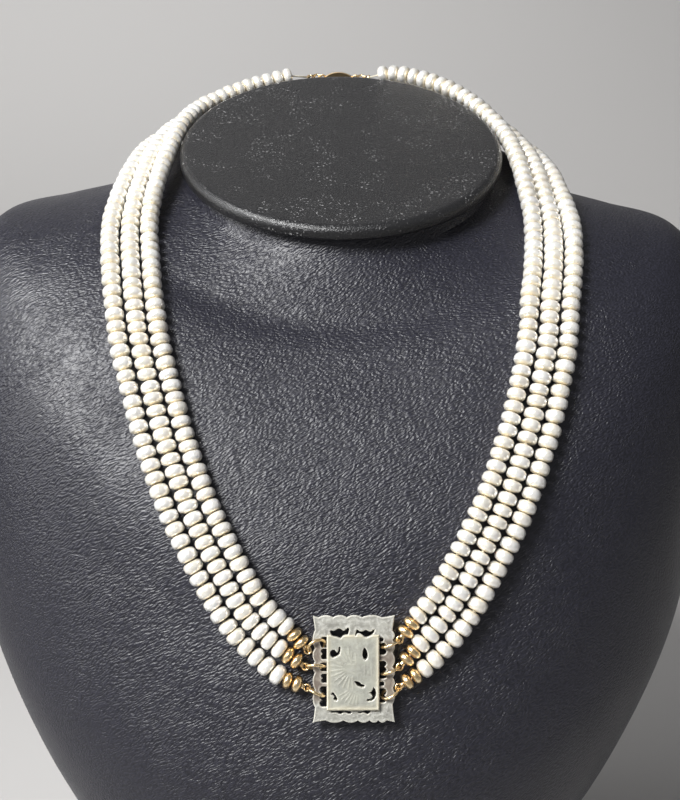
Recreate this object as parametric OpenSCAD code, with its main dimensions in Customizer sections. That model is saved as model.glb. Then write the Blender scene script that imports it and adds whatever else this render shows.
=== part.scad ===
// Three strand necklace of button pearls with a pierced centre plaque, on a plain neck bust.
// Millimetres. +X is the viewer's right, -Y is the front, +Z is up, z = 0 is the bust's base.

/* [Pearls] */
// Diameter of a button pearl
pearl_d = 6.1; // [5.6:0.1:6.1]
// Thickness of a button pearl along its thread
pearl_t = 3.65; // [3.5:0.05:3.8]
// Diameter of the hole through a pearl
pearl_bore = 0.95; // [0.9:0.05:1.2]
// Distance between the centre lines of two strands
strand_pitch = 6.35; // [6.3:0.05:6.6]
// Groups of three knotted pearls on each half of the inner, middle and outer strand
pearl_groups = [22, 23, 23];

/* [Gold] */
// Diameter of a gold saucer bead
saucer_d = 5.1; // [4.5:0.1:5.5]
// Thickness of a gold saucer bead
saucer_t = 2.7; // [2.2:0.1:2.8]
// Wire of the jump rings through the plaque
jump_wire = 0.75; // [0.7:0.05:0.75]
// Centre line radius of the jump rings through the plaque
jump_r = 2.75; // [2.7:0.05:2.85]

/* [Plaque] */
// Width of the plaque over its scallops
plaque_w = 24.2; // [23.6:0.1:24.6]
// Height of the plaque over its scallops
plaque_h = 31.5; // [30.8:0.1:31.8]
// Thickness of the pierced border band
band_t = 1.6; // [1.4:0.1:1.7]
// Thickness of the carved centre panel
panel_t = 2.8; // [2.4:0.1:3.2]

/* [Neck bust] */
// Radius of the round cap on the neck
cap_r = 53.6; // [52.5:0.1:54]
// Thickness of the cap
cap_t = 5; // [4.5:0.1:5.5]
// Forward lean of the cap, in degrees
cap_lean = 21.6; // [20.6:0.2:22.2]

/* [Hidden] */

LEFT = -1;
RIGHT = 1;
INNER = 0;
MIDDLE = 1;
OUTER = 2;

// The rounded form of the bust, from the foot of the neck to the base. One row is one ring:
// half width, then y and z where the ring is widest, at its front and at its back.
BUST_RINGS = [
  // half_w, side_y, side_z, front_y, front_z, back_y, back_z
  [ 70.4,  14.6,  241.4,  -32,    210,   87,    253],
  [ 80.7,   3.5,  235,    -41.5,  199,   85.5,  242],
  [ 97,     4.5,  233,    -53.5,  182,   89.5,  226],
  [112,     7.5,  230.5,  -64.5,  162,   90,    204],
  [121.5,   6.5,  217,    -73.5,  142,   88.5,  180],
  [124.5,   1.5,  187,    -79.5,  118,   83.5,  150],
  [121.5,  -2.5,  148,    -86,     95,   77.5,  120],
  [115,    -7.5,  110,    -90,     70,   70.5,   90],
  [100,   -11.5,   72,    -87.5,   45,   62.5,   60],
  [ 80.5, -13.5,   36,    -77.5,   22,   52.5,   30],
  [ 63,   -13.5,    8,    -64.5,    5,   40.5,    6],
  [ 58,   -13.5,    0,    -59.5,    0,   35.5,    0]
];
ring_steps = 3;
ring_sides = 72;

// Middle of the cap's top face
cap_at = [0.6, 20.9, 255.9];
cap_gap = 0.2;
cap_rim = 2;
cap_rim_steps = 5;
neck_r = 49.5;
neck_foot_r = 51.5;
neck_foot_drop = 4.5;
// The ring that the strands lie on beside the cap: how far out of the rim, and how far down
rim_clear = 2.7;
rim_drop = 5.6;

// Where the middle strand lies on the bust: ring number of the lay surface, and degrees round
// from the front. The inner and the outer strand run beside it, one strand_pitch away.
ROUTE_LEFT = [
  // ring, turn
  [6.20, 2.4], [6.02, 5.6], [5.69, 10.5], [5.26, 14.6], [4.68, 19.9], [4.00, 25.5], [3.25, 32.9],
  [2.44, 43.5], [1.72, 55.5], [0.86, 71], [0.42, 87], [0.30, 104], [0.37, 126], [0.23, 152], [0.07, 180]
];
ROUTE_RIGHT = [
  [6.20, 9.8], [6.04, 12.7], [5.70, 17.2], [5.30, 21], [4.74, 26.1], [4.04, 31.7], [3.27, 39],
  [2.38, 50.2], [1.67, 63.5], [0.81, 79], [0.51, 95], [0.39, 111], [0.18, 131], [0.08, 155], [0.15, 180]
];
route_steps = 8;
// Height of a strand's centre line over the lay surface
lay = 3.35;

// Basic vector and curve helpers.
function unit(v) = v / norm(v);
function curve4(a, b, c, d, t) =
  0.5 * (2 * b + (c - a) * t + (2 * a - 5 * b + 4 * c - d) * t * t + (3 * b - a - 3 * c + d) * t * t * t);
function row_or_beyond(rows, i) =
  i < 0 ? 2 * rows[0] - rows[1] :
  i >= len(rows) ? 2 * rows[len(rows) - 1] - rows[len(rows) - 2] : rows[i];
// A row between the rows of a table, on a smooth curve through all of them.
function row_at(rows, u) =
  let (i = min(max(floor(u), 0), len(rows) - 2))
  curve4(row_or_beyond(rows, i - 1), rows[i], rows[i + 1], row_or_beyond(rows, i + 2), u - i);

// A ring in the cap's leaning plane, in the form of a row of BUST_RINGS.
function leaning_ring(r, drop) =
  let (
    y = cap_at.y + drop * sin(cap_lean),
    z = cap_at.z - drop * cos(cap_lean),
    dy = r * cos(cap_lean),
    dz = r * sin(cap_lean)
  )
  [r, y, z, y - dy, z - dz, y + dy, z + dz];

NECK_RINGS = [
  leaning_ring(neck_r, cap_t + cap_gap),
  leaning_ring(neck_foot_r, cap_t + cap_gap + neck_foot_drop)
];
// The surface that the strands lie on: the bust's own, drawn up straight to the cap's rim.
LAY_RINGS = concat([leaning_ring(cap_r + rim_clear, rim_drop)], BUST_RINGS);
// The solid's rings from top to bottom: the neck, the hollow curve at its foot, and the form
FORM_RINGS = concat(
  [NECK_RINGS[0]],
  [for (i = [0 : ring_steps - 1]) row_at(concat(NECK_RINGS, BUST_RINGS), 1 + i / ring_steps)],
  [for (i = [0 : (len(BUST_RINGS) - 1) * ring_steps]) row_at(LAY_RINGS, 1 + i / ring_steps)]
);

// Point of a ring, a degrees round from the front, on one side.
function ring_point(row, a, side) =
  let (s = -cos(a))
  [
    side * row[0] * sin(a),
    row[1] + (row[5] - row[3]) / 2 * s + ((row[5] + row[3]) / 2 - row[1]) * s * s,
    row[2] + (row[6] - row[4]) / 2 * s + ((row[6] + row[4]) / 2 - row[2]) * s * s
  ];
function lay_point(u, a, side) = ring_point(row_at(LAY_RINGS, u), a, side);
function lay_down(u, a, side) = (lay_point(u + 0.02, a, side) - lay_point(u - 0.02, a, side)) / 0.04;
function lay_round(u, a, side) = (lay_point(u, a + 1, side) - lay_point(u, a - 1, side)) / 2;
function lay_normal(u, a, side) = unit(cross(lay_down(u, a, side), lay_round(u, a, side)) * side);
function over_lay(u, a, side) = lay_point(u, a, side) + lay_normal(u, a, side) * lay;

// Moves a place on the lay surface, step by step, to the one nearest to a wanted point.
function slide_to(ua, want, side, steps) =
  steps == 0 ? ua :
  let (
    d = want - over_lay(ua[0], ua[1], side),
    down = lay_down(ua[0], ua[1], side),
    round_ = lay_round(ua[0], ua[1], side),
    dd = down * down, dr = down * round_, rr = round_ * round_,
    det = dd * rr - dr * dr,
    du = ((down * d) * rr - (round_ * d) * dr) / det,
    da = ((round_ * d) * dd - (down * d) * dr) / det
  )
  slide_to([ua[0] + du, ua[1] + da], want, side, steps - 1);

function route(side) = side == LEFT ? ROUTE_LEFT : ROUTE_RIGHT;
function stations(side) =
  [for (i = [0 : (len(route(side)) - 1) * route_steps]) row_at(route(side), i / route_steps)];

// Centre line of one half strand, from the plaque to the back, beside the middle strand.
function lay_line(side, strand) =
  let (
    st = stations(side),
    mid = [for (q = st) over_lay(q[0], q[1], side)],
    last = len(mid) - 1
  )
  strand == MIDDLE ? mid :
  [
    for (i = [0 : last])
      let (
        along = unit(mid[min(i + 1, last)] - mid[max(i - 1, 0)]),
        across = unit(cross(along, lay_normal(st[i][0], st[i][1], side))) * side,
        want = mid[i] + across * (strand - MIDDLE) * strand_pitch,
        ua = slide_to(st[i], want, side, 3)
      )
      over_lay(ua[0], ua[1], side)
  ];

// The plaque lies on the chest, a little to the right of the middle. plaque_lift is the
// height of its band's middle plane over the lay surface, on the wires of the jump rings.
plaque_ring = 6.2;
plaque_turn = 4.1;
plaque_roll = 0.9;
plaque_lift = 3.2;
plaque_n = lay_normal(plaque_ring, plaque_turn, RIGHT);
plaque_at = lay_point(plaque_ring, plaque_turn, RIGHT) + plaque_n * plaque_lift;
level_x = unit(cross([0, 0, 1], plaque_n));
level_y = cross(plaque_n, level_x);
plaque_x = level_x * cos(plaque_roll) + level_y * sin(plaque_roll);
plaque_y = level_y * cos(plaque_roll) - level_x * sin(plaque_roll);
// Middle of the plaque's height over the point that the tables below measure from
plaque_mid_y = -0.1;

// Edges of the centre panel in the plaque's plane: left, right, bottom, top
PANEL = [-7.95, 7.5, -12.1, 10];
// Where the scallops of each edge meet, measured along the edge
TOP_DIPS = [-10.3, -6.1, -2, 2.5, 8.3];
RIGHT_DIPS = [11, 8.4, 4.6, 0.5, -2.7, -5.7, -10.4];
BOTTOM_DIPS = [9.6, 7.2, 4.6, 1.2, -3, -8.2];
LEFT_DIPS = [-11.4, -6.2, -1.2, 2, 5.9, 11.2];
scallop_depth = 0.7;
scallop_steps = 4;
ear_height = 0.35;

// Openings cut through the plaque. fullness 1 is a pointed leaf, 2 an oval, 4 a blunt slot.
OPENINGS = [
  // x,    y,     length, width, turn, fullness
  [-4.2,  10.2,   5.6,    1.3,     0, 1.4],
  [-6.6,  11.0,   2.4,    0.9,   120, 1.2],
  [-1.8,  11.0,   2.6,    0.9,    70, 1.2],
  [-4.6,   9.6,   1.8,    1.6,    80, 1.2],
  [ 3.3,  10.2,   5.4,    1.3,     0, 1.4],
  [ 0.8,  10.8,   2.2,    0.9,   110, 1.2],
  [ 5.8,  11.0,   2.4,    0.9,    60, 1.2],
  [ 3.7,   9.7,   1.7,    1.5,   100, 1.2],
  [-5.8,   4.2,   2.5,    2.1,    20, 2],
  [-4.4,   5.5,   2.9,    0.8,    75, 1.2],
  [ 3.4,   4.5,   3.9,    1.5,    85, 1.2],
  [ 1.8,  -4.5,   3.4,    1.2,   -25, 1.3],
  [-6.1,  -7.6,   2.2,    0.8,    65, 1.3],
  [-5.3,  -8.4,   1.8,    0.9,   120, 1.3],
  [ 5.7,  -7.2,   3.8,    1.5,    95, 1.4],
  [ 4.8,  -8.7,   2.2,    0.9,    20, 1.3],
  [-3.8, -12.7,   6.0,    1.1,     0, 1.6],
  [-2.5, -13.1,   1.6,    1.1,    90, 1.2],
  [-5.2, -13.1,   1.6,    1.1,    90, 1.2],
  [ 3.1, -12.7,   4.0,    1.1,     0, 1.6],
  [ 3.2, -13.1,   1.5,    1.2,    90, 1.2],
  [ 6.6, -12.2,   1.5,    0.8,     5, 1.6],
  [-9.0,   7.7,   3.2,    2.1,    90, 4],
  [-8.9,   3.9,   3.2,    1.9,    90, 3],
  [-9.0,   0.5,   2.6,    2.1,    90, 4],
  [-8.8,  -2.8,   2.7,    1.7,    90, 3],
  [-9.0,  -8.2,   6.0,    2.1,    90, 5],
  [ 8.6,   8.5,   1.0,    1.3,    90, 2],
  [ 8.7,   5.8,   3.5,    2.2,    90, 4],
  [ 8.7,  -0.4,   5.2,    2.2,    90, 5],
  [ 8.4,  -4.4,   1.4,    1.5,    90, 2],
  [ 8.7,  -7.9,   4.2,    2.2,    90, 5]
];
opening_sides = 20;

// Low fan of rays carved on the panel: where it springs from, and its rays.
fan_at = [0.4, -1.2];
fan_rays = 9;
fan_from = 95;
fan_step = 21;
fan_reach = [1.4, 5.4];
fan_w = 0.7;
fan_h = 0.3;

// The clasp stands behind the cap, between the two ends of the strands.
clasp_x = -1.8;
clasp_w = 12.4;
clasp_h = 18.8;
clasp_t = 3.2;
clasp_dome_r = 17;
clasp_lift = 0.7;
clasp_ring_no = 0.22;
clasp_n = lay_normal(clasp_ring_no, 180, RIGHT);
clasp_up = cross(clasp_n, [-1, 0, 0]);
clasp_sink = 0.8;
clasp_at = [clasp_x, 0, 0] + over_lay(clasp_ring_no, 180, RIGHT) - clasp_n * clasp_sink;
// Soldered loop on the clasp's edge, how far it stands out, and the ring that hangs in it.
clasp_loop_r = 1.15;
clasp_loop_out = 0.75;
clasp_wire = 0.7;
clasp_ring_r = 1.6;

// End loop of a strand: a small ring with a collar, whose seat takes the end of the thread.
loop_r = 0.95;
loop_wire = 0.55;
collar_d = 1.7;
collar_from = 1;
collar_to = 1.6;
collar_seat = 1.2;
thread_from = 1.3;
thread_r = 0.3;
knot_r = 0.55;
knot_half = 0.2;
thread_sides = 6;
// Play between two pieces on the thread, between the two gold beads, and between linked rings
play = 0.16;
saucer_play = 0.25;
link_play = 0.18;
// Free thread between the last pearl and its end loop at the clasp: left, right
BACK_FREE = [7.8, 5.2];
// Roundness of a pearl's and of a gold bead's edge, and points round half of its profile
pearl_fullness = 2.7;
saucer_fullness = 2.5;
bead_points = 9;
// The outer strand's plain form
string_r = 2.95;
string_sides = 10;
string_step = 8;
string_taper = 1.6;

// Where a jump ring goes through the plaque, the way it is pulled in the plaque's plane, and
// how far it leans out of square with the plaque.
RING_HOLES = [
  // left: [x, y, pull, lean], right: [x, y, pull, lean]
  [[-8.6,  7.9, 208, -37], [8.3,  6.2, 22,  -3]],
  [[-8.6,  0.5, 180, -16], [8.3, -1.7, 22,  -1]],
  [[-8.7, -8.0, 155,   1], [8.3, -8.4, 30, -22]]
];

function of_side(pair, side) = side == LEFT ? pair[0] : pair[1];
function on_plaque(x, y) = plaque_at + plaque_x * x + plaque_y * y;
function on_clasp(x, y) = clasp_at + [x, 0, 0] + clasp_up * y;

// Half width of the clasp's outline, a slot shape with round ends, at a height over its middle.
function clasp_half(y) =
  let (past = max(abs(y) - (clasp_h - clasp_w) / 2, 0))
  sqrt(clasp_w * clasp_w / 4 - past * past);
function clasp_height(strand) = (MIDDLE - strand) * strand_pitch;
function clasp_loop_at(side, strand) =
  let (y = clasp_height(strand))
  on_clasp(side * (clasp_half(y) + clasp_loop_out), y);

function pull(side, strand) =
  let (a = of_side(RING_HOLES[strand], side)[2])
  plaque_x * cos(a) + plaque_y * sin(a);
function hole_at(side, strand) =
  let (h = of_side(RING_HOLES[strand], side))
  on_plaque(h[0], h[1]);
// A ring that hangs in another one: how far its wire's middle lies from the other's middle.
function inside_ring(ring_r, ring_wire, wire) = ring_r - ring_wire / 2 - wire / 2 - link_play;
function front_loop_at(side, strand) =
  hole_at(side, strand)
  + pull(side, strand) * (2 * jump_r + inside_ring(loop_r, loop_wire, jump_wire));
function clasp_ring_at(side, strand) =
  clasp_loop_at(side, strand)
  + [side * (clasp_ring_r + inside_ring(clasp_loop_r, clasp_wire, clasp_wire)), 0, 0];
function back_loop_at(side, strand) =
  clasp_ring_at(side, strand)
  + [side * (clasp_ring_r + inside_ring(loop_r, loop_wire, clasp_wire)), 0, 0];

// Whole centre line of a half strand, from its front end loop to its back one. The two ends run
// straight for run_up, and stations nearer than that are left out.
run_up = 7;
end_stations = 30;
function strand_line(side, strand) =
  let (
    l = lay_line(side, strand),
    last = len(l) - 1,
    f = front_loop_at(side, strand),
    b = back_loop_at(side, strand),
    fd = unit(l[2 * route_steps] - f),
    bd = unit(l[last - route_steps] - b)
  )
  concat(
    [f],
    [
      for (i = [0 : last])
        if ((i > end_stations || (l[i] - f) * fd > run_up)
          && (i < last - end_stations || (l[i] - b) * bd > run_up)) l[i]
    ],
    [b]
  );

// A line as three tables that lookup() reads: a coordinate at a distance along it.
function lengths(p) =
  [for (i = 0, s = 0; i < len(p); s = s + norm(p[min(i + 1, len(p) - 1)] - p[i]), i = i + 1) s];
function measured(p) =
  let (s = lengths(p))
  [for (k = [0 : 2]) [for (i = [0 : len(p) - 1]) [s[i], p[i][k]]]];
function length_of(m) = m[0][len(m[0]) - 1][0];
function at(m, s) = [lookup(s, m[0]), lookup(s, m[1]), lookup(s, m[2])];
function heading(m, s) = unit(at(m, s + 0.5) - at(m, s - 0.5));

LINES = [
  for (side = [LEFT, RIGHT])
    [for (strand = [INNER, MIDDLE, OUTER]) measured(strand_line(side, strand))]
];
function line(side, strand) = of_side(LINES, side)[strand];

// Distances along a half strand: the middle of a gold bead, 2 nearer to the plaque, and the
// pearls. k counts the gaps before and after the pearls, from the first pearl's front.
function saucer_mid(number) =
  collar_to + play + saucer_t / 2 + (number == 2 ? 0 : saucer_t + saucer_play);
pearls_from = saucer_mid(1) + saucer_t / 2 + play;
function pearl_run(side, strand) = length_of(line(side, strand)) - pearls_from - of_side(BACK_FREE, side);
function knot_gap(side, strand) =
  let (g = pearl_groups[strand])
  (pearl_run(side, strand) - g * (3 * pearl_t + 2 * play)) / (g - 1);
function knotted(strand, k) = k % 3 == 0 && k > 0 && k < 3 * pearl_groups[strand];
function pearl_front(side, strand, k) =
  let (knots = floor(k / 3))
  pearls_from + k * pearl_t + knots * knot_gap(side, strand) + (k - knots) * play;
function gap_mid(side, strand, k) =
  k == 3 * pearl_groups[strand] ? pearls_from + pearl_run(side, strand) + play / 2 :
  pearl_front(side, strand, k) - (knotted(strand, k) ? knot_gap(side, strand) : play) / 2;

// Ring of points round p, square to d. It starts from a side that stays level with the form.
heart = [0, 0, 180];
function ring_round(p, d, r, sides) =
  let (
    u = unit(cross(d, p - heart)),
    v = cross(d, u)
  )
  [for (i = [0 : sides - 1]) p + (u * cos(360 * i / sides) + v * sin(360 * i / sides)) * r];

// Rings of the thread at gap k: one thin ring, or three that make a knot.
function thread_rings(p, before, after, knot) =
  let (d = unit(before + after))
  knot
  ? [
      ring_round(p - before * knot_half, d, thread_r, thread_sides),
      ring_round(p, d, knot_r, thread_sides),
      ring_round(p + after * knot_half, d, thread_r, thread_sides)
    ]
  : [ring_round(p, d, thread_r, thread_sides)];

// Closed skin of equal rings of points, given one after the other.
module skin(rings) {
  sides = len(rings[0]);
  last = len(rings) - 1;
  polyhedron(
    points = [for (ring = rings) each ring],
    faces = concat(
      [[for (i = [0 : sides - 1]) i]],
      [[for (i = [0 : sides - 1]) last * sides + sides - 1 - i]],
      [
        for (k = [0 : last - 1], i = [0 : sides - 1])
          let (j = (i + 1) % sides)
          each [
            [k * sides + i, (k + 1) * sides + i, (k + 1) * sides + j],
            [k * sides + i, (k + 1) * sides + j, k * sides + j]
          ]
      ]
    ),
    convexity = 6
  );
}

// Children drawn in a frame whose axes are x, y and z, at a point.
module in_frame(x, y, z, origin) {
  multmatrix([
    [x[0], y[0], z[0], origin[0]],
    [x[1], y[1], z[1], origin[1]],
    [x[2], y[2], z[2], origin[2]],
    [0, 0, 0, 1]
  ]) children();
}
// The same with only the z axis given.
module facing(z, origin) {
  x = unit(cross(origin - heart, z));
  in_frame(x, cross(z, x), z, origin) children();
}

module wire_ring(r, wire) {
  rotate_extrude($fn = 48) translate([r, 0]) circle(d = wire, $fn = 24);
}

// Round flattened bead with its hole along z. Its edge is a superellipse.
module bead(d, t, fullness) {
  half = [
    for (i = [0 : bead_points])
      let (a = -90 + 180 * i / bead_points)
      [
        max(d / 2 * pow(abs(cos(a)), 2 / fullness), pearl_bore / 2),
        t / 2 * sign(sin(a)) * pow(abs(sin(a)), 2 / fullness)
      ]
  ];
  rotate_extrude($fn = 48) polygon(half);
}

// Blunt or pointed opening: a superellipse with its length along x.
module opening_2d(length, width, fullness) {
  polygon([
    for (i = [0 : opening_sides - 1])
      let (a = 360 * i / opening_sides)
      [
        length / 2 * sign(cos(a)) * pow(abs(cos(a)), 2 / fullness),
        width / 2 * sign(sin(a)) * pow(abs(sin(a)), 2 / fullness)
      ]
  ]);
}

// Height of a scalloped edge under its tips, from one corner to the other: first an ear, then
// a round scallop between each two dips, and an ear again. Points are [along, depth].
function scalloped(from, dips, to) =
  let (last = len(dips) - 1)
  concat(
    [[from, 0], [(from + dips[0]) / 2, scallop_depth * (1 - ear_height)]],
    [
      for (i = [0 : last - 1], k = [0 : scallop_steps - 1])
        let (t = k / scallop_steps)
        [dips[i] + (dips[i + 1] - dips[i]) * t, scallop_depth * (1 - sin(180 * t))]
    ],
    [[dips[last], scallop_depth], [(to + dips[last]) / 2, scallop_depth * (1 - ear_height)]]
  );
module plaque_outline_2d() {
  w = plaque_w / 2;
  top = plaque_mid_y + plaque_h / 2;
  bottom = plaque_mid_y - plaque_h / 2;
  polygon(concat(
    [for (p = scalloped(-w, TOP_DIPS, w)) [p[0], top - p[1]]],
    [for (p = scalloped(top, RIGHT_DIPS, bottom)) [w - p[1], p[0]]],
    [for (p = scalloped(w, BOTTOM_DIPS, -w)) [p[0], bottom + p[1]]],
    [for (p = scalloped(bottom, LEFT_DIPS, top)) [-w + p[1], p[0]]]
  ));
}
module plaque_openings_2d() {
  for (o = OPENINGS)
    translate([o[0], o[1]]) rotate(o[4]) opening_2d(o[2], o[3], o[5]);
}

module bust() {
  color([0.16, 0.17, 0.19])
    skin([
      for (i = [len(FORM_RINGS) - 1 : -1 : 0])
        [for (k = [0 : ring_sides - 1]) ring_point(FORM_RINGS[i], 360 * k / ring_sides, RIGHT)]
    ]);
}

module neck_cap() {
  rim = [
    for (i = [0 : cap_rim_steps])
      let (a = 90 * i / cap_rim_steps)
      [cap_r - cap_rim + cap_rim * sin(a), cap_rim * (1 - cos(a))]
  ];
  color([0.14, 0.15, 0.17])
    translate(cap_at) rotate([cap_lean, 0, 0]) translate([0, 0, -cap_t])
      rotate_extrude($fn = 96)
        polygon(concat(
          [[0, 0]],
          rim,
          [for (i = [cap_rim_steps : -1 : 0]) [rim[i][0], cap_t - rim[i][1]]],
          [[0, cap_t]]
        ));
}

module plaque() {
  color([0.78, 0.78, 0.74])
    in_frame(plaque_x, plaque_y, plaque_n, plaque_at) difference() {
      union() {
        translate([0, 0, -band_t / 2]) linear_extrude(band_t) plaque_outline_2d();
        translate([PANEL[0], PANEL[2], -band_t / 2])
          cube([PANEL[1] - PANEL[0], PANEL[3] - PANEL[2], panel_t]);
        translate([fan_at[0], fan_at[1], panel_t - band_t / 2 - fan_h])
          linear_extrude(2 * fan_h) fan_2d();
      }
      translate([0, 0, -panel_t]) linear_extrude(3 * panel_t) plaque_openings_2d();
    }
}
module fan_2d() {
  length = fan_reach[1] - fan_reach[0];
  for (i = [0 : fan_rays - 1])
    rotate(fan_from + i * fan_step)
      translate([(fan_reach[0] + fan_reach[1]) / 2, 0]) opening_2d(length, fan_w, 1);
}

module clasp() {
  color([0.85, 0.68, 0.38]) {
    in_frame([-1, 0, 0], clasp_up, clasp_n, clasp_at + clasp_n * clasp_lift) intersection() {
      translate([0, 0, -clasp_t / 2]) linear_extrude(clasp_t) clasp_outline_2d();
      translate([0, 0, clasp_t / 2 - clasp_dome_r]) sphere(r = clasp_dome_r, $fn = 96);
    }
    for (side = [LEFT, RIGHT], strand = [INNER, MIDDLE, OUTER])
      in_frame([-1, 0, 0], clasp_up, clasp_n, clasp_loop_at(side, strand))
        wire_ring(clasp_loop_r, clasp_wire);
  }
}
module clasp_outline_2d() {
  straight = clasp_h - clasp_w;
  square([clasp_w, straight], center = true);
  for (end = [-1, 1])
    translate([0, end * straight / 2]) circle(d = clasp_w, $fn = 48);
}

// Pearls of one half strand, each on the straight piece of thread between its two gaps.
module pearls(side, strand) {
  m = line(side, strand);
  color([0.95, 0.93, 0.87])
    for (k = [0 : 3 * pearl_groups[strand] - 1]) {
      from = gap_mid(side, strand, k);
      a = at(m, from);
      d = unit(at(m, gap_mid(side, strand, k + 1)) - a);
      facing(d, a + d * (pearl_front(side, strand, k) + pearl_t / 2 - from))
        bead(pearl_d, pearl_t, pearl_fullness);
    }
}

// Thread of one half strand, knotted after every third pearl, from one end loop to the other.
module thread(side, strand) {
  m = line(side, strand);
  end = length_of(m) - thread_from;
  last = 3 * pearl_groups[strand];
  p = concat([at(m, thread_from)], [for (k = [0 : last]) at(m, gap_mid(side, strand, k))], [at(m, end)]);
  color([0.9, 0.87, 0.78])
    skin([
      ring_round(p[0], unit(p[1] - p[0]), thread_r, thread_sides),
      for (k = [0 : last])
        each thread_rings(p[k + 1], unit(p[k + 1] - p[k]), unit(p[k + 2] - p[k + 1]), knotted(strand, k)),
      ring_round(p[last + 2], unit(p[last + 2] - p[last + 1]), thread_r, thread_sides)
    ]);
}

// The outer strand as one plain round string with thin ends that go through the gold beads.
module string(side) {
  m = line(side, OUTER);
  from = pearls_from;
  to = from + pearl_run(side, OUTER);
  steps = ceil((to - from - 2 * string_taper) / string_step);
  stops = concat(
    [[thread_from, thread_r], [from, thread_r]],
    [
      for (i = [0 : steps])
        [from + string_taper + (to - from - 2 * string_taper) * i / steps, string_r]
    ],
    [[to, thread_r], [length_of(m) - thread_from, thread_r]]
  );
  color([0.95, 0.93, 0.87])
    skin([for (q = stops) ring_round(at(m, q[0]), heading(m, q[0]), q[1], string_sides)]);
}

module gold_bead(side, strand, number) {
  m = line(side, strand);
  s = saucer_mid(number);
  color([0.88, 0.7, 0.4])
    facing(heading(m, s), at(m, s)) bead(saucer_d, saucer_t, saucer_fullness);
}

// Ring and collar at a point. The collar points along d, and the ring faces out.
module end_loop(origin, d, out) {
  z = unit(out - d * (out * d));
  color([0.88, 0.7, 0.4])
    in_frame(d, cross(z, d), z, origin) difference() {
      union() {
        wire_ring(loop_r, loop_wire);
        rotate([0, 90, 0]) translate([0, 0, collar_from])
          cylinder(d = collar_d, h = collar_to - collar_from, $fn = 32);
      }
      rotate([0, 90, 0]) translate([0, 0, collar_seat]) cylinder(d = pearl_bore, h = collar_to, $fn = 32);
    }
}
module front_loop(side, strand) {
  m = line(side, strand);
  end_loop(at(m, 0), heading(m, 1), plaque_n);
}
module back_loop(side, strand) {
  m = line(side, strand);
  s = length_of(m);
  end_loop(at(m, s), -heading(m, s - 1), clasp_n);
}

module jump_ring(side, strand) {
  a = pull(side, strand);
  lean = of_side(RING_HOLES[strand], side)[3];
  w = plaque_n * cos(lean) + cross(plaque_n, a) * sin(lean);
  color([0.88, 0.7, 0.4])
    in_frame(a, w, cross(a, w), hole_at(side, strand) + a * jump_r) wire_ring(jump_r, jump_wire);
}
module clasp_ring(side, strand) {
  color([0.88, 0.7, 0.4])
    in_frame([1, 0, 0], clasp_n, cross([1, 0, 0], clasp_n), clasp_ring_at(side, strand))
      wire_ring(clasp_ring_r, clasp_wire);
}

STRAND_NAMES = ["inner", "middle", "outer"];

bust();
neck_cap();
plaque();
clasp();
pearls(LEFT, INNER);  // inner_pearls_left
pearls(RIGHT, INNER);  // inner_pearls_right
pearls(LEFT, MIDDLE);  // middle_pearls_left
pearls(RIGHT, MIDDLE);  // middle_pearls_right
string(LEFT);  // outer_pearls_left
string(RIGHT);  // outer_pearls_right
thread(LEFT, INNER);  // inner_thread_left
thread(RIGHT, INNER);  // inner_thread_right
thread(LEFT, MIDDLE);  // middle_thread_left
thread(RIGHT, MIDDLE);  // middle_thread_right
for (side = [LEFT, RIGHT], strand = [INNER, MIDDLE, OUTER]) {
  place = str(STRAND_NAMES[strand], "_", side == LEFT ? "left" : "right");
  front_loop(side, strand);
  jump_ring(side, strand);
  back_loop(side, strand);
  clasp_ring(side, strand);
  for (number = [1, 2])
    gold_bead(side, strand, number);
}
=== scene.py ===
"""Looks of a three strand necklace of button pearls that lies on a leatherette neck bust.

x runs to the right of the picture, y away from the camera and z up. Lengths are in
millimetres until a mesh is made, and then in metres.
"""
import math

import bpy
import numpy as np
from mathutils import Matrix, Vector


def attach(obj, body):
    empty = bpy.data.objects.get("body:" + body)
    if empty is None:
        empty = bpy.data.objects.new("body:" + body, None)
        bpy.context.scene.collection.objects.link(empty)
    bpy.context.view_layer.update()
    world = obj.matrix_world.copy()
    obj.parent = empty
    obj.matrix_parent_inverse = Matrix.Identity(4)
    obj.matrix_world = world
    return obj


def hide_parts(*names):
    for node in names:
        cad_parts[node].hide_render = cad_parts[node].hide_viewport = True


MM = 0.001
LEFT, RIGHT = -1, 1
SIDES = {"left": LEFT, "right": RIGHT}
STRANDS = ("inner", "middle", "outer")
HALVES = [(strand, name, side) for strand in STRANDS for name, side in SIDES.items()]

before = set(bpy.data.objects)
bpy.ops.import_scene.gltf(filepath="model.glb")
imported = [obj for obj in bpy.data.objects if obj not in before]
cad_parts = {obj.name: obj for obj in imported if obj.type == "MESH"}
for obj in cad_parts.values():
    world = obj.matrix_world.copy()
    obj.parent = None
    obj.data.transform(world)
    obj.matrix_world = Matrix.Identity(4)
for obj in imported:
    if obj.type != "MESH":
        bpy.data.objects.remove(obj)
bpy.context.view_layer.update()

# Form of the bust

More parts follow.
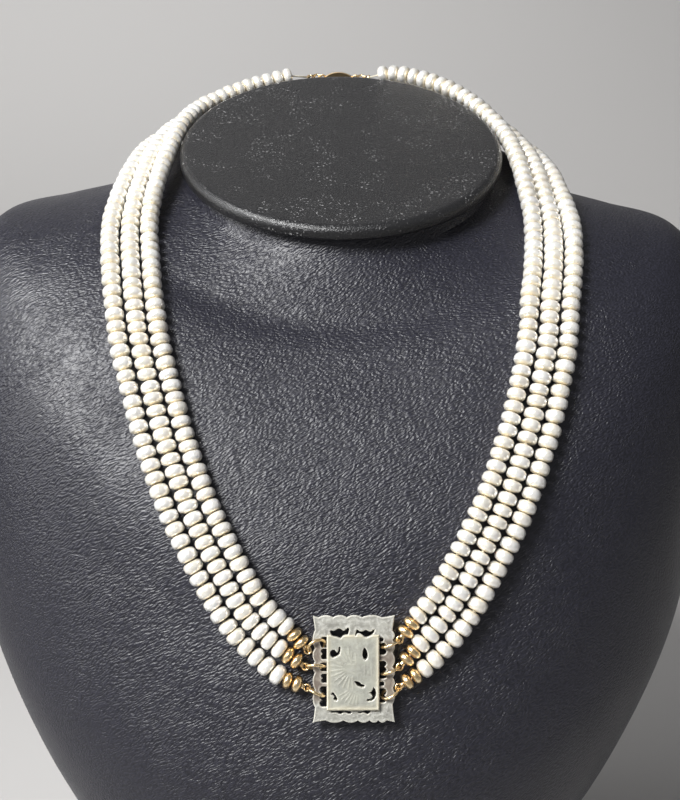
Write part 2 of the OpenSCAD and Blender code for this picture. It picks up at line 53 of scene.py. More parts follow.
# The bust from the foot of the neck to its base, as in the part's source. One row is one ring:
# half width, then y and z where it is widest, at its front and at its back.
BUST_RINGS = np.array([
    [70.4, 14.6, 241.4, -32, 210, 87, 253],
    [80.7, 3.5, 235, -41.5, 199, 85.5, 242],
    [97, 4.5, 233, -53.5, 182, 89.5, 226],
    [112, 7.5, 230.5, -64.5, 162, 90, 204],
    [121.5, 6.5, 217, -73.5, 142, 88.5, 180],
    [124.5, 1.5, 187, -79.5, 118, 83.5, 150],
    [121.5, -2.5, 148, -86, 95, 77.5, 120],
    [115, -7.5, 110, -90, 70, 70.5, 90],
    [100, -11.5, 72, -87.5, 45, 62.5, 60],
    [80.5, -13.5, 36, -77.5, 22, 52.5, 30],
    [63, -13.5, 8, -64.5, 5, 40.5, 6],
    [58, -13.5, 0, -59.5, 0, 35.5, 0],
])
CAP_AT = np.array([0.6, 20.9, 255.9])
CAP_R = 53.6
CAP_T = 5.0
CAP_LEAN = math.radians(21.6)
# The ring beside the cap that the strands lie on stands clear of its rim and below its top.
RIM_CLEAR = 2.7
RIM_DROP = 5.6
NECK_R = 49.5
NECK_FOOT_R = 51.5
NECK_FOOT_DROP = 4.5
CAP_GAP = 0.2

# Where the middle strand lies: ring number, and degrees round from the front.
ROUTE = {
    LEFT: np.array([
        [6.20, 2.4], [6.02, 5.6], [5.69, 10.5], [5.26, 14.6], [4.68, 19.9],
        [4.00, 25.5], [3.25, 32.9], [2.44, 43.5], [1.72, 55.5], [0.86, 71],
        [0.42, 87], [0.30, 104], [0.37, 126], [0.23, 152], [0.07, 180],
    ]),
    RIGHT: np.array([
        [6.20, 9.8], [6.04, 12.7], [5.70, 17.2], [5.30, 21], [4.74, 26.1],
        [4.04, 31.7], [3.27, 39], [2.38, 50.2], [1.67, 63.5], [0.81, 79],
        [0.51, 95], [0.39, 111], [0.18, 131], [0.08, 155], [0.15, 180],
    ]),
}
ROUTE_STEPS = 8
SURFACE_STEP = 0.02
LAY = 3.35
STRAND_PITCH = 6.35

# Pearls and gold, as in the part's source
PEARL_D = 6.1
PEARL_T = {"inner": 3.65, "middle": 3.65, "outer": 3.88}
PEARL_GROUPS = {"inner": 22, "middle": 23, "outer": 23}
PLAY = 0.16
SAUCER_D = 5.1
SAUCER_T = 2.7
SAUCER_PLAY = 0.25
COLLAR_TO = 1.6
BACK_FREE = {LEFT: 7.8, RIGHT: 5.2}
THREAD_FROM = 1.3
THREAD_R = 0.3
JUMP_R = 2.75
JUMP_WIRE = 0.75
LOOP_R = 0.95
LOOP_WIRE = 0.55
LINK_PLAY = 0.18
CLASP_X = -1.8
CLASP_W = 12.4
CLASP_H = 18.8
CLASP_RING_NO = 0.22
CLASP_SINK = 0.8
CLASP_LOOP_R = 1.15
CLASP_LOOP_OUT = 0.75
CLASP_WIRE = 0.7
CLASP_RING_R = 1.6
PLAQUE_RING = 6.2
PLAQUE_TURN = 4.1
PLAQUE_ROLL = math.radians(0.9)
PLAQUE_LIFT = 3.2
# Hole of each jump ring in the plaque's plane, x and y, then its pull and lean in degrees
RING_HOLES = {
    "inner": {LEFT: (-8.6, 7.9, 208, -37), RIGHT: (8.3, 6.2, 22, -3)},
    "middle": {LEFT: (-8.6, 0.5, 180, -16), RIGHT: (8.3, -1.7, 22, -1)},
    "outer": {LEFT: (-8.7, -8.0, 155, 1), RIGHT: (8.3, -8.4, 30, -22)},
}


def unit(v):
    """Vectors divided by their lengths."""
    v = np.asarray(v, float)
    return v / np.linalg.norm(v, axis=-1, keepdims=True)


def dot(a, b):
    """Dot products of rows of vectors, as a column."""
    return np.sum(np.asarray(a) * np.asarray(b), axis=-1, keepdims=True)


def row_at(rows, u):
    """Rows between the rows of a table: the cubic through four neighbours, with the two ends
    drawn on straight."""
    u = np.asarray(u, float)
    last = len(rows) - 1
    padded = np.vstack([2 * rows[:1] - rows[1:2], rows, 2 * rows[-1:] - rows[-2:-1]])
    i = np.clip(np.floor(u).astype(int), 0, last - 1)
    t = (u - i)[..., None]
    a, b, c, d = (padded[i + k] for k in range(4))
    return 0.5 * (2 * b + (c - a) * t + (2 * a - 5 * b + 4 * c - d) * t**2
                  + (3 * b - a - 3 * c + d) * t**3)


def leaning_ring(r, drop):
    """A ring of radius r in the cap's leaning plane, drop under its top, as a table row."""
    y = CAP_AT[1] + drop * math.sin(CAP_LEAN)
    z = CAP_AT[2] - drop * math.cos(CAP_LEAN)
    dy = r * math.cos(CAP_LEAN)
    dz = r * math.sin(CAP_LEAN)
    return np.array([[r, y, z, y - dy, z - dz, y + dy, z + dz]])


NECK_RINGS = np.vstack([
    leaning_ring(NECK_R, CAP_T + CAP_GAP),
    leaning_ring(NECK_FOOT_R, CAP_T + CAP_GAP + NECK_FOOT_DROP),
])
LAY_RINGS = np.vstack([leaning_ring(CAP_R + RIM_CLEAR, RIM_DROP), BUST_RINGS])


def ring_point(row, turn, side):
    """Point of a ring, turn degrees round from the front: x goes with the sine, y and z go
    with the cosine and bend a little with its square."""
    a = np.radians(turn)
    s = -np.cos(a)

    def round_from(middle, front, back):
        return middle + (back - front) / 2 * s + ((back + front) / 2 - middle) * s * s

    return np.stack([
        side * row[..., 0] * np.sin(a),
        round_from(row[..., 1], row[..., 3], row[..., 5]),
        round_from(row[..., 2], row[..., 4], row[..., 6]),
    ], axis=-1)


def lay_point(u, turn, side):
    """Point of the surface that the strands lie on, at ring number u."""
    return ring_point(row_at(LAY_RINGS, u), turn, side)


def lay_axes(u, turn, side):
    """The surface's two directions and its normal, by central differences."""
    below, above = (lay_point(u + du, turn, side) for du in (SURFACE_STEP, -SURFACE_STEP))
    down = (below - above) / (2 * SURFACE_STEP)
    along = (lay_point(u, turn + 1, side) - lay_point(u, turn - 1, side)) / 2
    return down, along, unit(np.cross(down, along) * side)


def over_lay(u, turn, side):
    """A place LAY above the surface that the strands lie on."""
    return lay_point(u, turn, side) + lay_axes(u, turn, side)[2] * LAY


def slide_to(u, turn, want, side):
    """Places on the surface nearest to the wanted points, by three least-squares steps."""
    for _ in range(3):
        down, along, _normal = lay_axes(u, turn, side)
        d = want - over_lay(u, turn, side)
        dd, dr, rr, pd, pr = (np.sum(p * q, axis=-1) for p, q in (
            (down, down), (down, along), (along, along), (down, d), (along, d)))
        det = dd * rr - dr * dr
        u = u + (pd * rr - pr * dr) / det
        turn = turn + (pr * dd - pd * dr) / det
    return u, turn


def lay_line(side, strand):
    """Centre line of a half strand: the middle one's route, or the line beside it, one pitch
    to the inside or the outside and pressed back on the surface."""
    steps = (len(ROUTE[side]) - 1) * ROUTE_STEPS
    u, turn = row_at(ROUTE[side], np.arange(steps + 1) / ROUTE_STEPS).T
    middle = over_lay(u, turn, side)
    shift = (STRANDS.index(strand) - 1) * STRAND_PITCH
    if not shift:
        return middle
    ahead = np.vstack([middle[1:], middle[-1:]])
    behind = np.vstack([middle[:1], middle[:-1]])
    across = unit(np.cross(unit(ahead - behind), lay_axes(u, turn, side)[2])) * side
    return over_lay(*slide_to(u, turn, middle + across * shift, side), side)


# Frames of the plaque and of the clasp: where each is, its normal, and its own axes

PLAQUE_N = lay_axes(PLAQUE_RING, PLAQUE_TURN, RIGHT)[2]
PLAQUE_AT = lay_point(PLAQUE_RING, PLAQUE_TURN, RIGHT) + PLAQUE_N * PLAQUE_LIFT
LEVEL_X = unit(np.cross([0, 0, 1], PLAQUE_N))
LEVEL_Y = np.cross(PLAQUE_N, LEVEL_X)
PLAQUE_X = LEVEL_X * math.cos(PLAQUE_ROLL) + LEVEL_Y * math.sin(PLAQUE_ROLL)
PLAQUE_Y = LEVEL_Y * math.cos(PLAQUE_ROLL) - LEVEL_X * math.sin(PLAQUE_ROLL)
CLASP_N = lay_axes(CLASP_RING_NO, 180, RIGHT)[2]
CLASP_UP = np.cross(CLASP_N, [-1, 0, 0])
CLASP_AT = np.array([CLASP_X, 0, 0]) + over_lay(CLASP_RING_NO, 180, RIGHT) - CLASP_N * CLASP_SINK


def inside_ring(ring_r, ring_wire, wire):
    """How far a wire's middle is from a ring's when it hangs in it at the far end."""
    return ring_r - ring_wire / 2 - wire / 2 - LINK_PLAY


def clasp_half(y):
    """Half width of the clasp's slot-shaped outline at a height over its middle."""
    past = np.maximum(np.abs(y) - (CLASP_H - CLASP_W) / 2, 0)
    return np.sqrt(CLASP_W**2 / 4 - past**2)


def back_loop_at(side, strand):
    """Middle of a strand's back end loop: out from the clasp by its soldered loop and by the
    ring between the two, a strand's pitch up or down."""
    y = (1 - STRANDS.index(strand)) * STRAND_PITCH
    out = (clasp_half(y) + CLASP_LOOP_OUT + 2 * CLASP_RING_R
           + inside_ring(CLASP_LOOP_R, CLASP_WIRE, CLASP_WIRE)
           + inside_ring(LOOP_R, LOOP_WIRE, CLASP_WIRE))
    return CLASP_AT + [side * out, 0, 0] + CLASP_UP * y


def pull(side, strand):
    """Direction in which a jump ring is drawn out of its hole, in the plaque's plane."""
    a = math.radians(RING_HOLES[strand][side][2])
    return PLAQUE_X * math.cos(a) + PLAQUE_Y * math.sin(a)


def hole_at(side, strand):
    """Where a jump ring's wire passes the plaque's plane."""
    x, y = RING_HOLES[strand][side][:2]
    return PLAQUE_AT + PLAQUE_X * x + PLAQUE_Y * y


def front_loop_at(side, strand):
    """Middle of a strand's front end loop, hanging in its jump ring."""
    reach = 2 * JUMP_R + inside_ring(LOOP_R, LOOP_WIRE, JUMP_WIRE)
    return hole_at(side, strand) + pull(side, strand) * reach


# Of the laid line's outer points, this many at each end, those nearer to the end loop than
# the run-up are left out, so that the strand runs straight into its loop.
END_STATIONS = 30
RUN_UP = 7


class Line:
    """Centre line of a half strand, read by the distance along it from the front end loop."""

    def __init__(self, side, strand):
        laid = lay_line(side, strand)
        front, back = front_loop_at(side, strand), back_loop_at(side, strand)
        last = len(laid) - 1
        past_front = (laid - front) @ unit(laid[2 * ROUTE_STEPS] - front) > RUN_UP
        past_back = (laid - back) @ unit(laid[last - ROUTE_STEPS] - back) > RUN_UP
        i = np.arange(last + 1)
        kept = ((i > END_STATIONS) | past_front) & ((i < last - END_STATIONS) | past_back)
        self.points = np.vstack([front, laid[kept], back])
        steps = np.linalg.norm(np.diff(self.points, axis=0), axis=1)
        self.stops = np.concatenate([[0], np.cumsum(steps)])
        self.length = self.stops[-1]
        self.side = side
        self.strand = strand

    def at(self, s):
        """Point at a distance along the line."""
        return np.stack([np.interp(s, self.stops, self.points[:, k]) for k in range(3)], axis=-1)

    def heading(self, s, reach=0.5):
        """Direction of the line at a distance, between two points on either side of it."""
        s = np.asarray(s, float)
        return unit(self.at(s + reach) - self.at(s - reach))


LINES = {(side, strand): Line(side, strand) for strand, _, side in HALVES}


def saucer_mid(number):
    """Distance of a gold bead along its strand. Number 2 is the one nearer to the plaque."""
    return COLLAR_TO + PLAY + SAUCER_T / 2 + (0 if number == 2 else SAUCER_T + SAUCER_PLAY)


PEARLS_FROM = saucer_mid(1) + SAUCER_T / 2 + PLAY


def pearl_places(line):
    """Front faces of the pearls along a line, and the middles of the gaps round them. Every
    third gap is wider by what is left over, for its knot."""
    groups, thick = PEARL_GROUPS[line.strand], PEARL_T[line.strand]
    run = line.length - PEARLS_FROM - BACK_FREE[line.side]
    knot = (run - groups * (3 * thick + 2 * PLAY)) / (groups - 1)
    k = np.arange(3 * groups)
    front = PEARLS_FROM + k * thick + (k // 3) * knot + (k - k // 3) * PLAY
    before = np.where((k % 3 == 0) & (k > 0), knot, PLAY)
    gaps = np.append(front - before / 2, PEARLS_FROM + run + PLAY / 2)
    return front, gaps, knot


# Meshes

# A point inside the bust, from which pieces on the strands take their outward side
HEART = np.array([0, 0, 180.0])


def angles(n):
    """Equal steps round a circle, from 0."""
    return 2 * np.pi * np.arange(n) / n


def half_turn(n):
    """Equal steps from straight down to straight up."""
    return np.linspace(-np.pi / 2, np.pi / 2, n)


def columns(*parts):
    """Arrays side by side as the columns of a table."""
    return np.stack(parts, axis=1)


def grid_faces(rows, cols, wrap=True):
    """Quads of a grid of points. Each row's last point joins its first where it wraps."""
    i = np.arange(rows - 1)[:, None] * cols
    j = np.arange(cols if wrap else cols - 1)[None, :]
    k = (j + 1) % cols
    return np.stack([i + j, i + k, i + cols + k, i + cols + j], axis=-1).reshape(-1, 4)


def fan_faces(ring, centre, flip=False):
    """Triangles from a ring of point numbers to a centre point."""
    ring = np.asarray(ring)
    after = np.roll(ring, -1)
    sides = (after, ring) if flip else (ring, after)
    return np.stack([*sides, np.full(len(ring), centre)], axis=-1)


def closed_faces(rows, cols):
    """Faces of a closed form made of rings: quads between the rings, then a fan from the first
    ring to the point that follows them all, and one from the last ring to the next point."""
    first, last = np.arange(cols), np.arange(cols) + (rows - 1) * cols
    fans = [fan_faces(first, rows * cols, True), fan_faces(last, rows * cols + 1)]
    return [grid_faces(rows, cols), np.vstack(fans)]


def new_mesh(name, points, faces, marks=None):
    """A smooth mesh from millimetre points and a list of face arrays. marks are named point
    values."""
    mesh = bpy.data.meshes.new(name)
    points = np.asarray(points, np.float32) * MM
    mesh.vertices.add(len(points))
    mesh.vertices.foreach_set("co", points.ravel())
    corners = np.concatenate([f.ravel() for f in faces]).astype(np.int32)
    sizes = np.concatenate([np.full(len(f), f.shape[1]) for f in faces])
    starts = np.concatenate([[0], np.cumsum(sizes)[:-1]]).astype(np.int32)
    mesh.loops.add(len(corners))
    mesh.loops.foreach_set("vertex_index", corners)
    mesh.polygons.add(len(sizes))
    mesh.polygons.foreach_set("loop_start", starts)
    mesh.update(calc_edges=True)
    mesh.validate()
    mesh.polygons.foreach_set("use_smooth", np.ones(len(mesh.polygons), bool))
    for mark, values in (marks or {}).items():
        layer = mesh.attributes.new(mark, "FLOAT", "POINT")
        layer.data.foreach_set("value", np.asarray(values, np.float32))
    return mesh


def put(name, data):
    """A new object in the scene that holds a mesh, a lamp or a camera."""
    thing = bpy.data.objects.new(name, data)
    bpy.context.scene.collection.objects.link(thing)
    return thing


def add_piece(name, mesh, finish, slot, *nodes):
    """Puts a mesh in the scene as a piece of the one body, in place of its CAD nodes."""
    piece = put(name, mesh)
    mesh.materials.append(finish)
    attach(piece, "root")
    if nodes:
        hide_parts(*nodes)


def crease(mesh, degrees):
    """Keeps edges sharper than an angle as hard lines between smooth faces."""
    mesh.set_sharp_from_angle(angle=math.radians(degrees))


def axes_along(points, d):
    """Two axes square to each direction, the first one level with the form."""
    u = unit(np.cross(d, points - HEART))
    return u, np.cross(d, u)


def ring_directions(u, v, sides):
    """Directions round a ring in each pair of axes, at equal angles from the first axis."""
    a = angles(sides)
    return u[:, None] * np.cos(a)[:, None] + v[:, None] * np.sin(a)[:, None]


def bell(x, middle, width):
    """The bell curve: 1 at its middle, 1 / e at a width from it."""
    return np.exp(-(((x - middle) / width) ** 2))


def superellipse(a, radius, half, full):
    """Radius and height at angle a of an outline that is rounder than an ellipse: the cosine
    and the sine to the power 2 / full."""
    power = 2 / full
    return (radius * np.abs(np.cos(a)) ** power,
            half * np.sign(np.sin(a)) * np.abs(np.sin(a)) ** power)


def tube(points, d, r, sides):
    """A round tube: rings of radius r square to d at each point, closed by a fan at each end."""
    rings = points[:, None] + ring_directions(*axes_along(points, d), sides) * r
    flat = np.vstack([rings.reshape(-1, 3), points[:1], points[-1:]])
    return flat, closed_faces(len(points), sides)


HOOP_STEPS, HOOP_SIDES = 48, 12
SEAM_AT, SEAM_WIDE, SEAM_DEEP = 0.6, 0.07, 0.22


def hoop(centre, x, y, r, wire):
    """A wire ring: a circle of radius r in the plane of x and y carries a circle of the wire's
    size, which dips by a bell curve at the soldered seam."""
    a, b = angles(HOOP_STEPS), angles(HOOP_SIDES)
    out = np.cos(a)[:, None] * x + np.sin(a)[:, None] * y
    z = np.cross(x, y)
    thick = np.full(HOOP_STEPS, wire / 2) * (1 - SEAM_DEEP * bell(a, SEAM_AT, SEAM_WIDE))
    rings = (centre + out[:, None] * r
             + (out[:, None] * np.cos(b)[:, None] - z * np.sin(b)[:, None]) * thick[:, None, None])
    return rings.reshape(-1, 3), [grid_faces(HOOP_STEPS + 1, HOOP_SIDES) % (HOOP_STEPS * HOOP_SIDES)]


def merged(shells):
    """Several shells of points and faces as one."""
    points, faces, start = [], [], 0
    for shell_points, shell_faces in shells:
        points.append(shell_points)
        faces += [f + start for f in shell_faces]
        start += len(shell_points)
    return np.vstack(points), faces


def revolved(profile, centre, u, v, d, sides, wave=None):
    """A turned shape for each centre: profile rows are radius and height along d. wave gives a
    factor on the radius for each centre, profile row and side. Both ends are closed. Gives the
    points, the faces and how many points each shape has."""
    profile = np.broadcast_to(profile, (len(centre), *np.shape(profile)[-2:]))
    ring = ring_directions(u, v, sides)
    r = profile[:, 1:-1, 0, None] * np.ones(sides)
    if wave is not None:
        r = r * wave
    z = profile[:, :, 1]
    body = (centre[:, None, None] + ring[:, None] * r[..., None]
            + (d[:, None] * z[:, 1:-1, None])[:, :, None])
    low = centre + d * z[:, :1]
    high = centre + d * z[:, -1:]
    points = np.concatenate([body.reshape(len(centre), -1, 3), low[:, None], high[:, None]], axis=1)
    size = points.shape[1]
    starts = np.arange(len(centre))[:, None, None] * size
    faces = [(f + starts).reshape(-1, f.shape[1]) for f in closed_faces(body.shape[1], sides)]
    return points.reshape(-1, 3), faces, size


# Shader maths


class Value:
    """One socket of a material. A sum or a product of values adds the Math node for it."""

    def __init__(self, finish, socket):
        self.finish = finish
        self.socket = socket

    def _math(self, operation, other):
        return self.finish.node("ShaderNodeMath", {"operation": operation}, {0: self, 1: other})

    def __add__(self, other):
        return self._math("ADD", other)

    def __mul__(self, other):
        return self._math("MULTIPLY", other)

    __radd__ = __add__
    __rmul__ = __mul__

    def over(self, edge, soft):
        """0 below edge and 1 above it, with a smooth step as wide as soft."""
        return self.finish.node(
            "ShaderNodeMapRange", {"interpolation_type": "SMOOTHSTEP"},
            {"Value": self, "From Min": edge - soft / 2, "From Max": edge + soft / 2})


class Finish:
    """A material of this object, built from one Principled shader."""

    def __init__(self, name):
        self.material = bpy.data.materials.new(name)
        self.material.use_nodes = True
        self.tree = self.material.node_tree
        self.shader = next(n for n in self.tree.nodes if n.type == "BSDF_PRINCIPLED")

    def node(self, kind, settings=None, sockets=None, out=0):
        """Adds a node: its settings first, then its sockets' values or links."""
        node = self.tree.nodes.new(kind)
        for key, value in (settings or {}).items():
            setattr(node, key, value)
        for key, value in (sockets or {}).items():
            self.feed(node.inputs[key], value)
        return Value(self, node.outputs[out])

    def feed(self, socket, value):
        """Links a value to a socket, or sets the socket to a number or colour."""
        if isinstance(value, Value):
            self.tree.links.new(value.socket, socket)
        else:
            socket.default_value = value

    def mapped(self, where, cell, turn):
        """Coordinates counted in cells, whose sides are given and that are turned by degrees
        round the object's axes."""
        return self.node("ShaderNodeMapping", {"vector_type": "TEXTURE"}, {
            "Vector": where, "Rotation": [math.radians(a) for a in turn], "Scale": cell})

    def place(self, cell=(1, 1, 1), turn=(0, 0, 0)):
        """Object coordinates in millimetres, or counted in cells of so many millimetres."""
        where = self.node("ShaderNodeTexCoord", out="Object")
        return self.mapped(where, [c * MM for c in cell], turn)

    def bent(self, where, size, reach):
        """Coordinates pushed about by a coloured noise, so that a pattern wanders."""
        push = self.node("ShaderNodeTexNoise", None,
                         {"Vector": where, "Scale": 1 / size, "Detail": 1.0}, "Color")
        push = self.node("ShaderNodeVectorMath", {"operation": "SUBTRACT"}, {0: push, 1: [0.5] * 3})
        return self.node("ShaderNodeVectorMath", {"operation": "MULTIPLY_ADD"},
                         {0: push, 1: [reach] * 3, 2: where})

    def noise(self, where, size, detail=2.0, rough=0.5, warp=0.0):
        """Cloudy noise whose lumps are about size millimetres across."""
        return self.node("ShaderNodeTexNoise", None, {
            "Vector": where, "Scale": 1 / size, "Detail": detail, "Roughness": rough,
            "Distortion": warp})

    def mark(self, name):
        """A mesh's own point values."""
        return self.node("ShaderNodeAttribute", {"attribute_name": name}, None, "Fac")

    def mix(self, factor, a, b):
        """Colour a where the factor is 0 and colour b where it is 1."""
        return self.node("ShaderNodeMix", {"data_type": "RGBA"}, {0: factor, 6: a, 7: b}, 2)

    def bump(self, height, depth, under=None):
        """A normal from a height between 0 and 1 that stands for depth millimetres, on top of
        another normal where one is given."""
        sockets = {"Height": height, "Distance": depth * MM, "Strength": 1.0}
        if under is not None:
            sockets["Normal"] = under
        return self.node("ShaderNodeBump", None, sockets)

    def done(self, **sockets):
        """Feeds the shader's own sockets and gives the material."""
        for key, value in sockets.items():
            self.feed(self.shader.inputs[key.replace("_", " ")], value)
        return self.material


def rgb(r, g, b):
    """A colour from its red, green and blue shares of light."""
    return (r, g, b, 1.0)


# The leatherette's wrinkles lie along a line that climbs to the right by this turn.
GRAIN_TURN = (0, -32, 0)
WRINKLE = (1.5, 0.5, 0.5)


def leatherette():
    """Black leatherette: short low wrinkles that climb to the right and wander a little, in
    calmer and rougher stretches, slightly violet."""
    f = Finish("leatherette")
    where = f.bent(f.place(), size=4.0, reach=1.2)
    grain = f.noise(f.mapped(where, WRINKLE, GRAIN_TURN), 1.0, detail=0.6)
    calm = f.noise(f.place(), 14.0, detail=1.0)
    normal = f.bump(grain * (0.65 + calm.over(0.5, 0.4) * 0.35), depth=0.47)
    base = f.mix(grain.over(0.5, 0.4), rgb(0.007, 0.007, 0.012), rgb(0.015, 0.015, 0.024))
    return f.done(Base_Color=base, Roughness=0.39 + calm * 0.08, Normal=normal, Specular_IOR_Level=0.55)


def cap_leatherette():
    """The cap's smoother leatherette: fine shallow grain, dull, with patches of pale lint."""
    f = Finish("leatherette_cap")
    where = f.place()
    grain = f.noise(f.place((1.3, 0.8, 0.8), GRAIN_TURN), 0.5, detail=2.0, rough=0.6)
    specks = f.noise(where, 0.75, detail=1.0)
    patches = f.noise(where, 11.0, detail=1.0)
    dust = specks.over(0.68, 0.07) * (0.08 + patches.over(0.54, 0.14) * 0.92)
    base = f.mix(grain.over(0.5, 0.4), rgb(0.009, 0.009, 0.010), rgb(0.014, 0.014, 0.015))
    base = f.mix(dust * 0.75, base, rgb(0.30, 0.30, 0.30))
    return f.done(Base_Color=base, Roughness=0.25 + grain * 0.08, Normal=f.bump(grain, depth=0.22),
                  Specular_IOR_Level=0.6)


def pearl_finish():
    """Nacre: ivory with faint cream and rose clouds that differ from pearl to pearl, a darker cream
    painted shade towards the drilled ends where neighbouring pearls meet, a lustre from inside,
    a clear gloss over it and low soft dents."""
    f = Finish("pearl_nacre")
    where = f.place()
    tint, end = f.mark("tint"), f.mark("end")
    cloud = f.noise(where, 2.2, warp=0.6)
    rose = f.noise(where, 1.7, detail=1.0)
    creamy = tint * 0.75 + cloud * 0.45
    base = f.mix(creamy.over(0.62, 0.5), rgb(0.96, 0.945, 0.90), rgb(0.95, 0.905, 0.81))
    base = f.mix(rose.over(0.6, 0.2) * 0.3, base, rgb(0.92, 0.84, 0.82))
    # Painted shade: darker cream towards the drilled ends, where each pearl meets its neighbours
    base = f.mix(end.over(0.75, 0.6) * 0.75, base, rgb(0.86, 0.76, 0.55))
    dents = f.bump(f.noise(where, 1.6, rough=0.55), depth=0.3)
    normal = f.bump(f.noise(where, 0.45, detail=1.0), depth=0.015, under=dents)
    return f.done(Base_Color=base, Roughness=0.28 + cloud * 0.12, Metallic=0.4, Normal=normal,
                  Subsurface_Weight=0.12, Subsurface_Radius=(1.0, 0.9, 0.8),
                  Subsurface_Scale=0.6 * MM, Coat_Weight=1.0, Coat_IOR=2.1, Coat_Roughness=0.14,
                  Specular_IOR_Level=0.6)


def silk_finish():
    """Cream silk: fine diagonal twist along the thread."""
    f = Finish("silk_thread")
    twist = f.node("ShaderNodeTexWave", {"wave_type": "BANDS", "bands_direction": "DIAGONAL"},
                   {"Vector": f.place(), "Scale": 2.2, "Distortion": 1.5})
    base = f.mix(twist, rgb(0.62, 0.56, 0.42), rgb(0.82, 0.78, 0.66))
    return f.done(Base_Color=base, Roughness=0.75, Normal=f.bump(twist, depth=0.05))


def gold_finish(name, dull):
    """Warm gold with small soft dents, and browner where it is less polished. dull is the least
    roughness."""
    f = Finish(name)
    where = f.place()
    wear = f.noise(where, 1.6)
    base = f.mix(wear.over(0.5, 0.4), rgb(0.96, 0.77, 0.47), rgb(0.90, 0.66, 0.36))
    dents = f.bump(f.noise(where, 1.3, detail=1.0), depth=0.12)
    normal = f.bump(f.noise(where, 0.25, detail=1.0), depth=0.012, under=dents)
    return f.done(Base_Color=base, Metallic=1.0, Roughness=dull + wear * 0.16, Normal=normal)


def stone_finish():
    """Pale translucent stone: grey white with cloudy veins, a painted highlight along cut edges,
    cream round the panel, and a brown painted shade on the pierced side borders, partly the
    dark seen through the thin stone."""
    f = Finish("carved_stone")
    where = f.place()
    rim, shade, cream, panel = (f.mark(name) for name in ("rim", "shade", "cream", "panel"))
    veins = f.noise(where, 5.0, detail=4.0, rough=0.6, warp=1.2)
    mottle = f.noise(where, 1.3, detail=3.0, rough=0.65, warp=0.8)
    border = f.mix(veins.over(0.5, 0.4), rgb(0.24, 0.235, 0.21), rgb(0.36, 0.355, 0.315))
    border = f.mix(mottle.over(0.56, 0.25) * 0.5, border, rgb(0.60, 0.595, 0.55))
    # Painted shade: brown on the pierced side borders stands in for shadow there, partly the dark seen
    # through the thin stone
    painted_shade_brown = f.mix(veins.over(0.5, 0.3), rgb(0.17, 0.14, 0.115), rgb(0.27, 0.24, 0.20))
    border = f.mix(shade, border, painted_shade_brown)
    middle = f.mix(veins.over(0.5, 0.35), rgb(0.27, 0.27, 0.235), rgb(0.36, 0.36, 0.305))
    middle = f.mix(mottle.over(0.52, 0.3) * 0.35, middle, rgb(0.49, 0.49, 0.43))
    base = f.mix(panel, border, middle)
    base = f.mix(cream * 0.75, base, rgb(0.60, 0.55, 0.41))
    # Painted highlight: the cut edges are lighter, standing in for light caught on their rounded bevels
    base = f.mix(rim * 0.6, base, rgb(0.72, 0.70, 0.62))
    normal = f.bump(f.noise(f.place((1, 1, 2.8)), 0.6), depth=0.04)
    return f.done(Base_Color=base, Roughness=0.32 + veins * 0.14, Normal=normal,
                  Subsurface_Weight=0.2, Subsurface_Radius=(1.0, 1.0, 0.9),
                  Subsurface_Scale=0.8 * MM, Coat_Weight=0.15, Coat_Roughness=0.2)


LEATHERETTE = leatherette()
CAP_LEATHERETTE = cap_leatherette()
PEARL = pearl_finish()
SILK = silk_finish()
GOLD = gold_finish("gold", 0.2)
BRUSHED_GOLD = gold_finish("gold_brushed", 0.42)
STONE = stone_finish()

# The bust

BUST_TURNS = 240
BUST_STEPS = 12
NECK_STEPS = 6
BASE_CREASE = 40


def make_bust():
    """The bust's skin: rings of the smooth form from the base to the neck, each a loop of
    equal turns, with a fan under the base and one over the neck."""
    neck = np.vstack([NECK_RINGS, BUST_RINGS])
    body_steps = (len(BUST_RINGS) - 1) * BUST_STEPS
    rows = np.vstack([
        NECK_RINGS[:1],
        row_at(neck, 1 + np.arange(NECK_STEPS) / NECK_STEPS),
        row_at(LAY_RINGS, 1 + np.arange(body_steps + 1) / BUST_STEPS),
    ])[::-1]
    turns = 360 * np.arange(BUST_TURNS) / BUST_TURNS
    skin = ring_point(rows[:, None], turns[None], RIGHT)
    points = np.vstack([skin.reshape(-1, 3), skin[0].mean(axis=0), skin[-1].mean(axis=0)])
    mesh = new_mesh("bust_cover", points, closed_faces(len(rows), BUST_TURNS))
    crease(mesh, BASE_CREASE)
    add_piece("bust_cover", mesh, LEATHERETTE, "leatherette", "bust")


CAP_SHOULDER = 2.6
CAP_FOOT = 1.4
CAP_SIDES = 192
FOOT_ROWS, SHOULDER_ROWS, TOP_ROWS, UNDER_ROWS = 9, 13, 13, 5


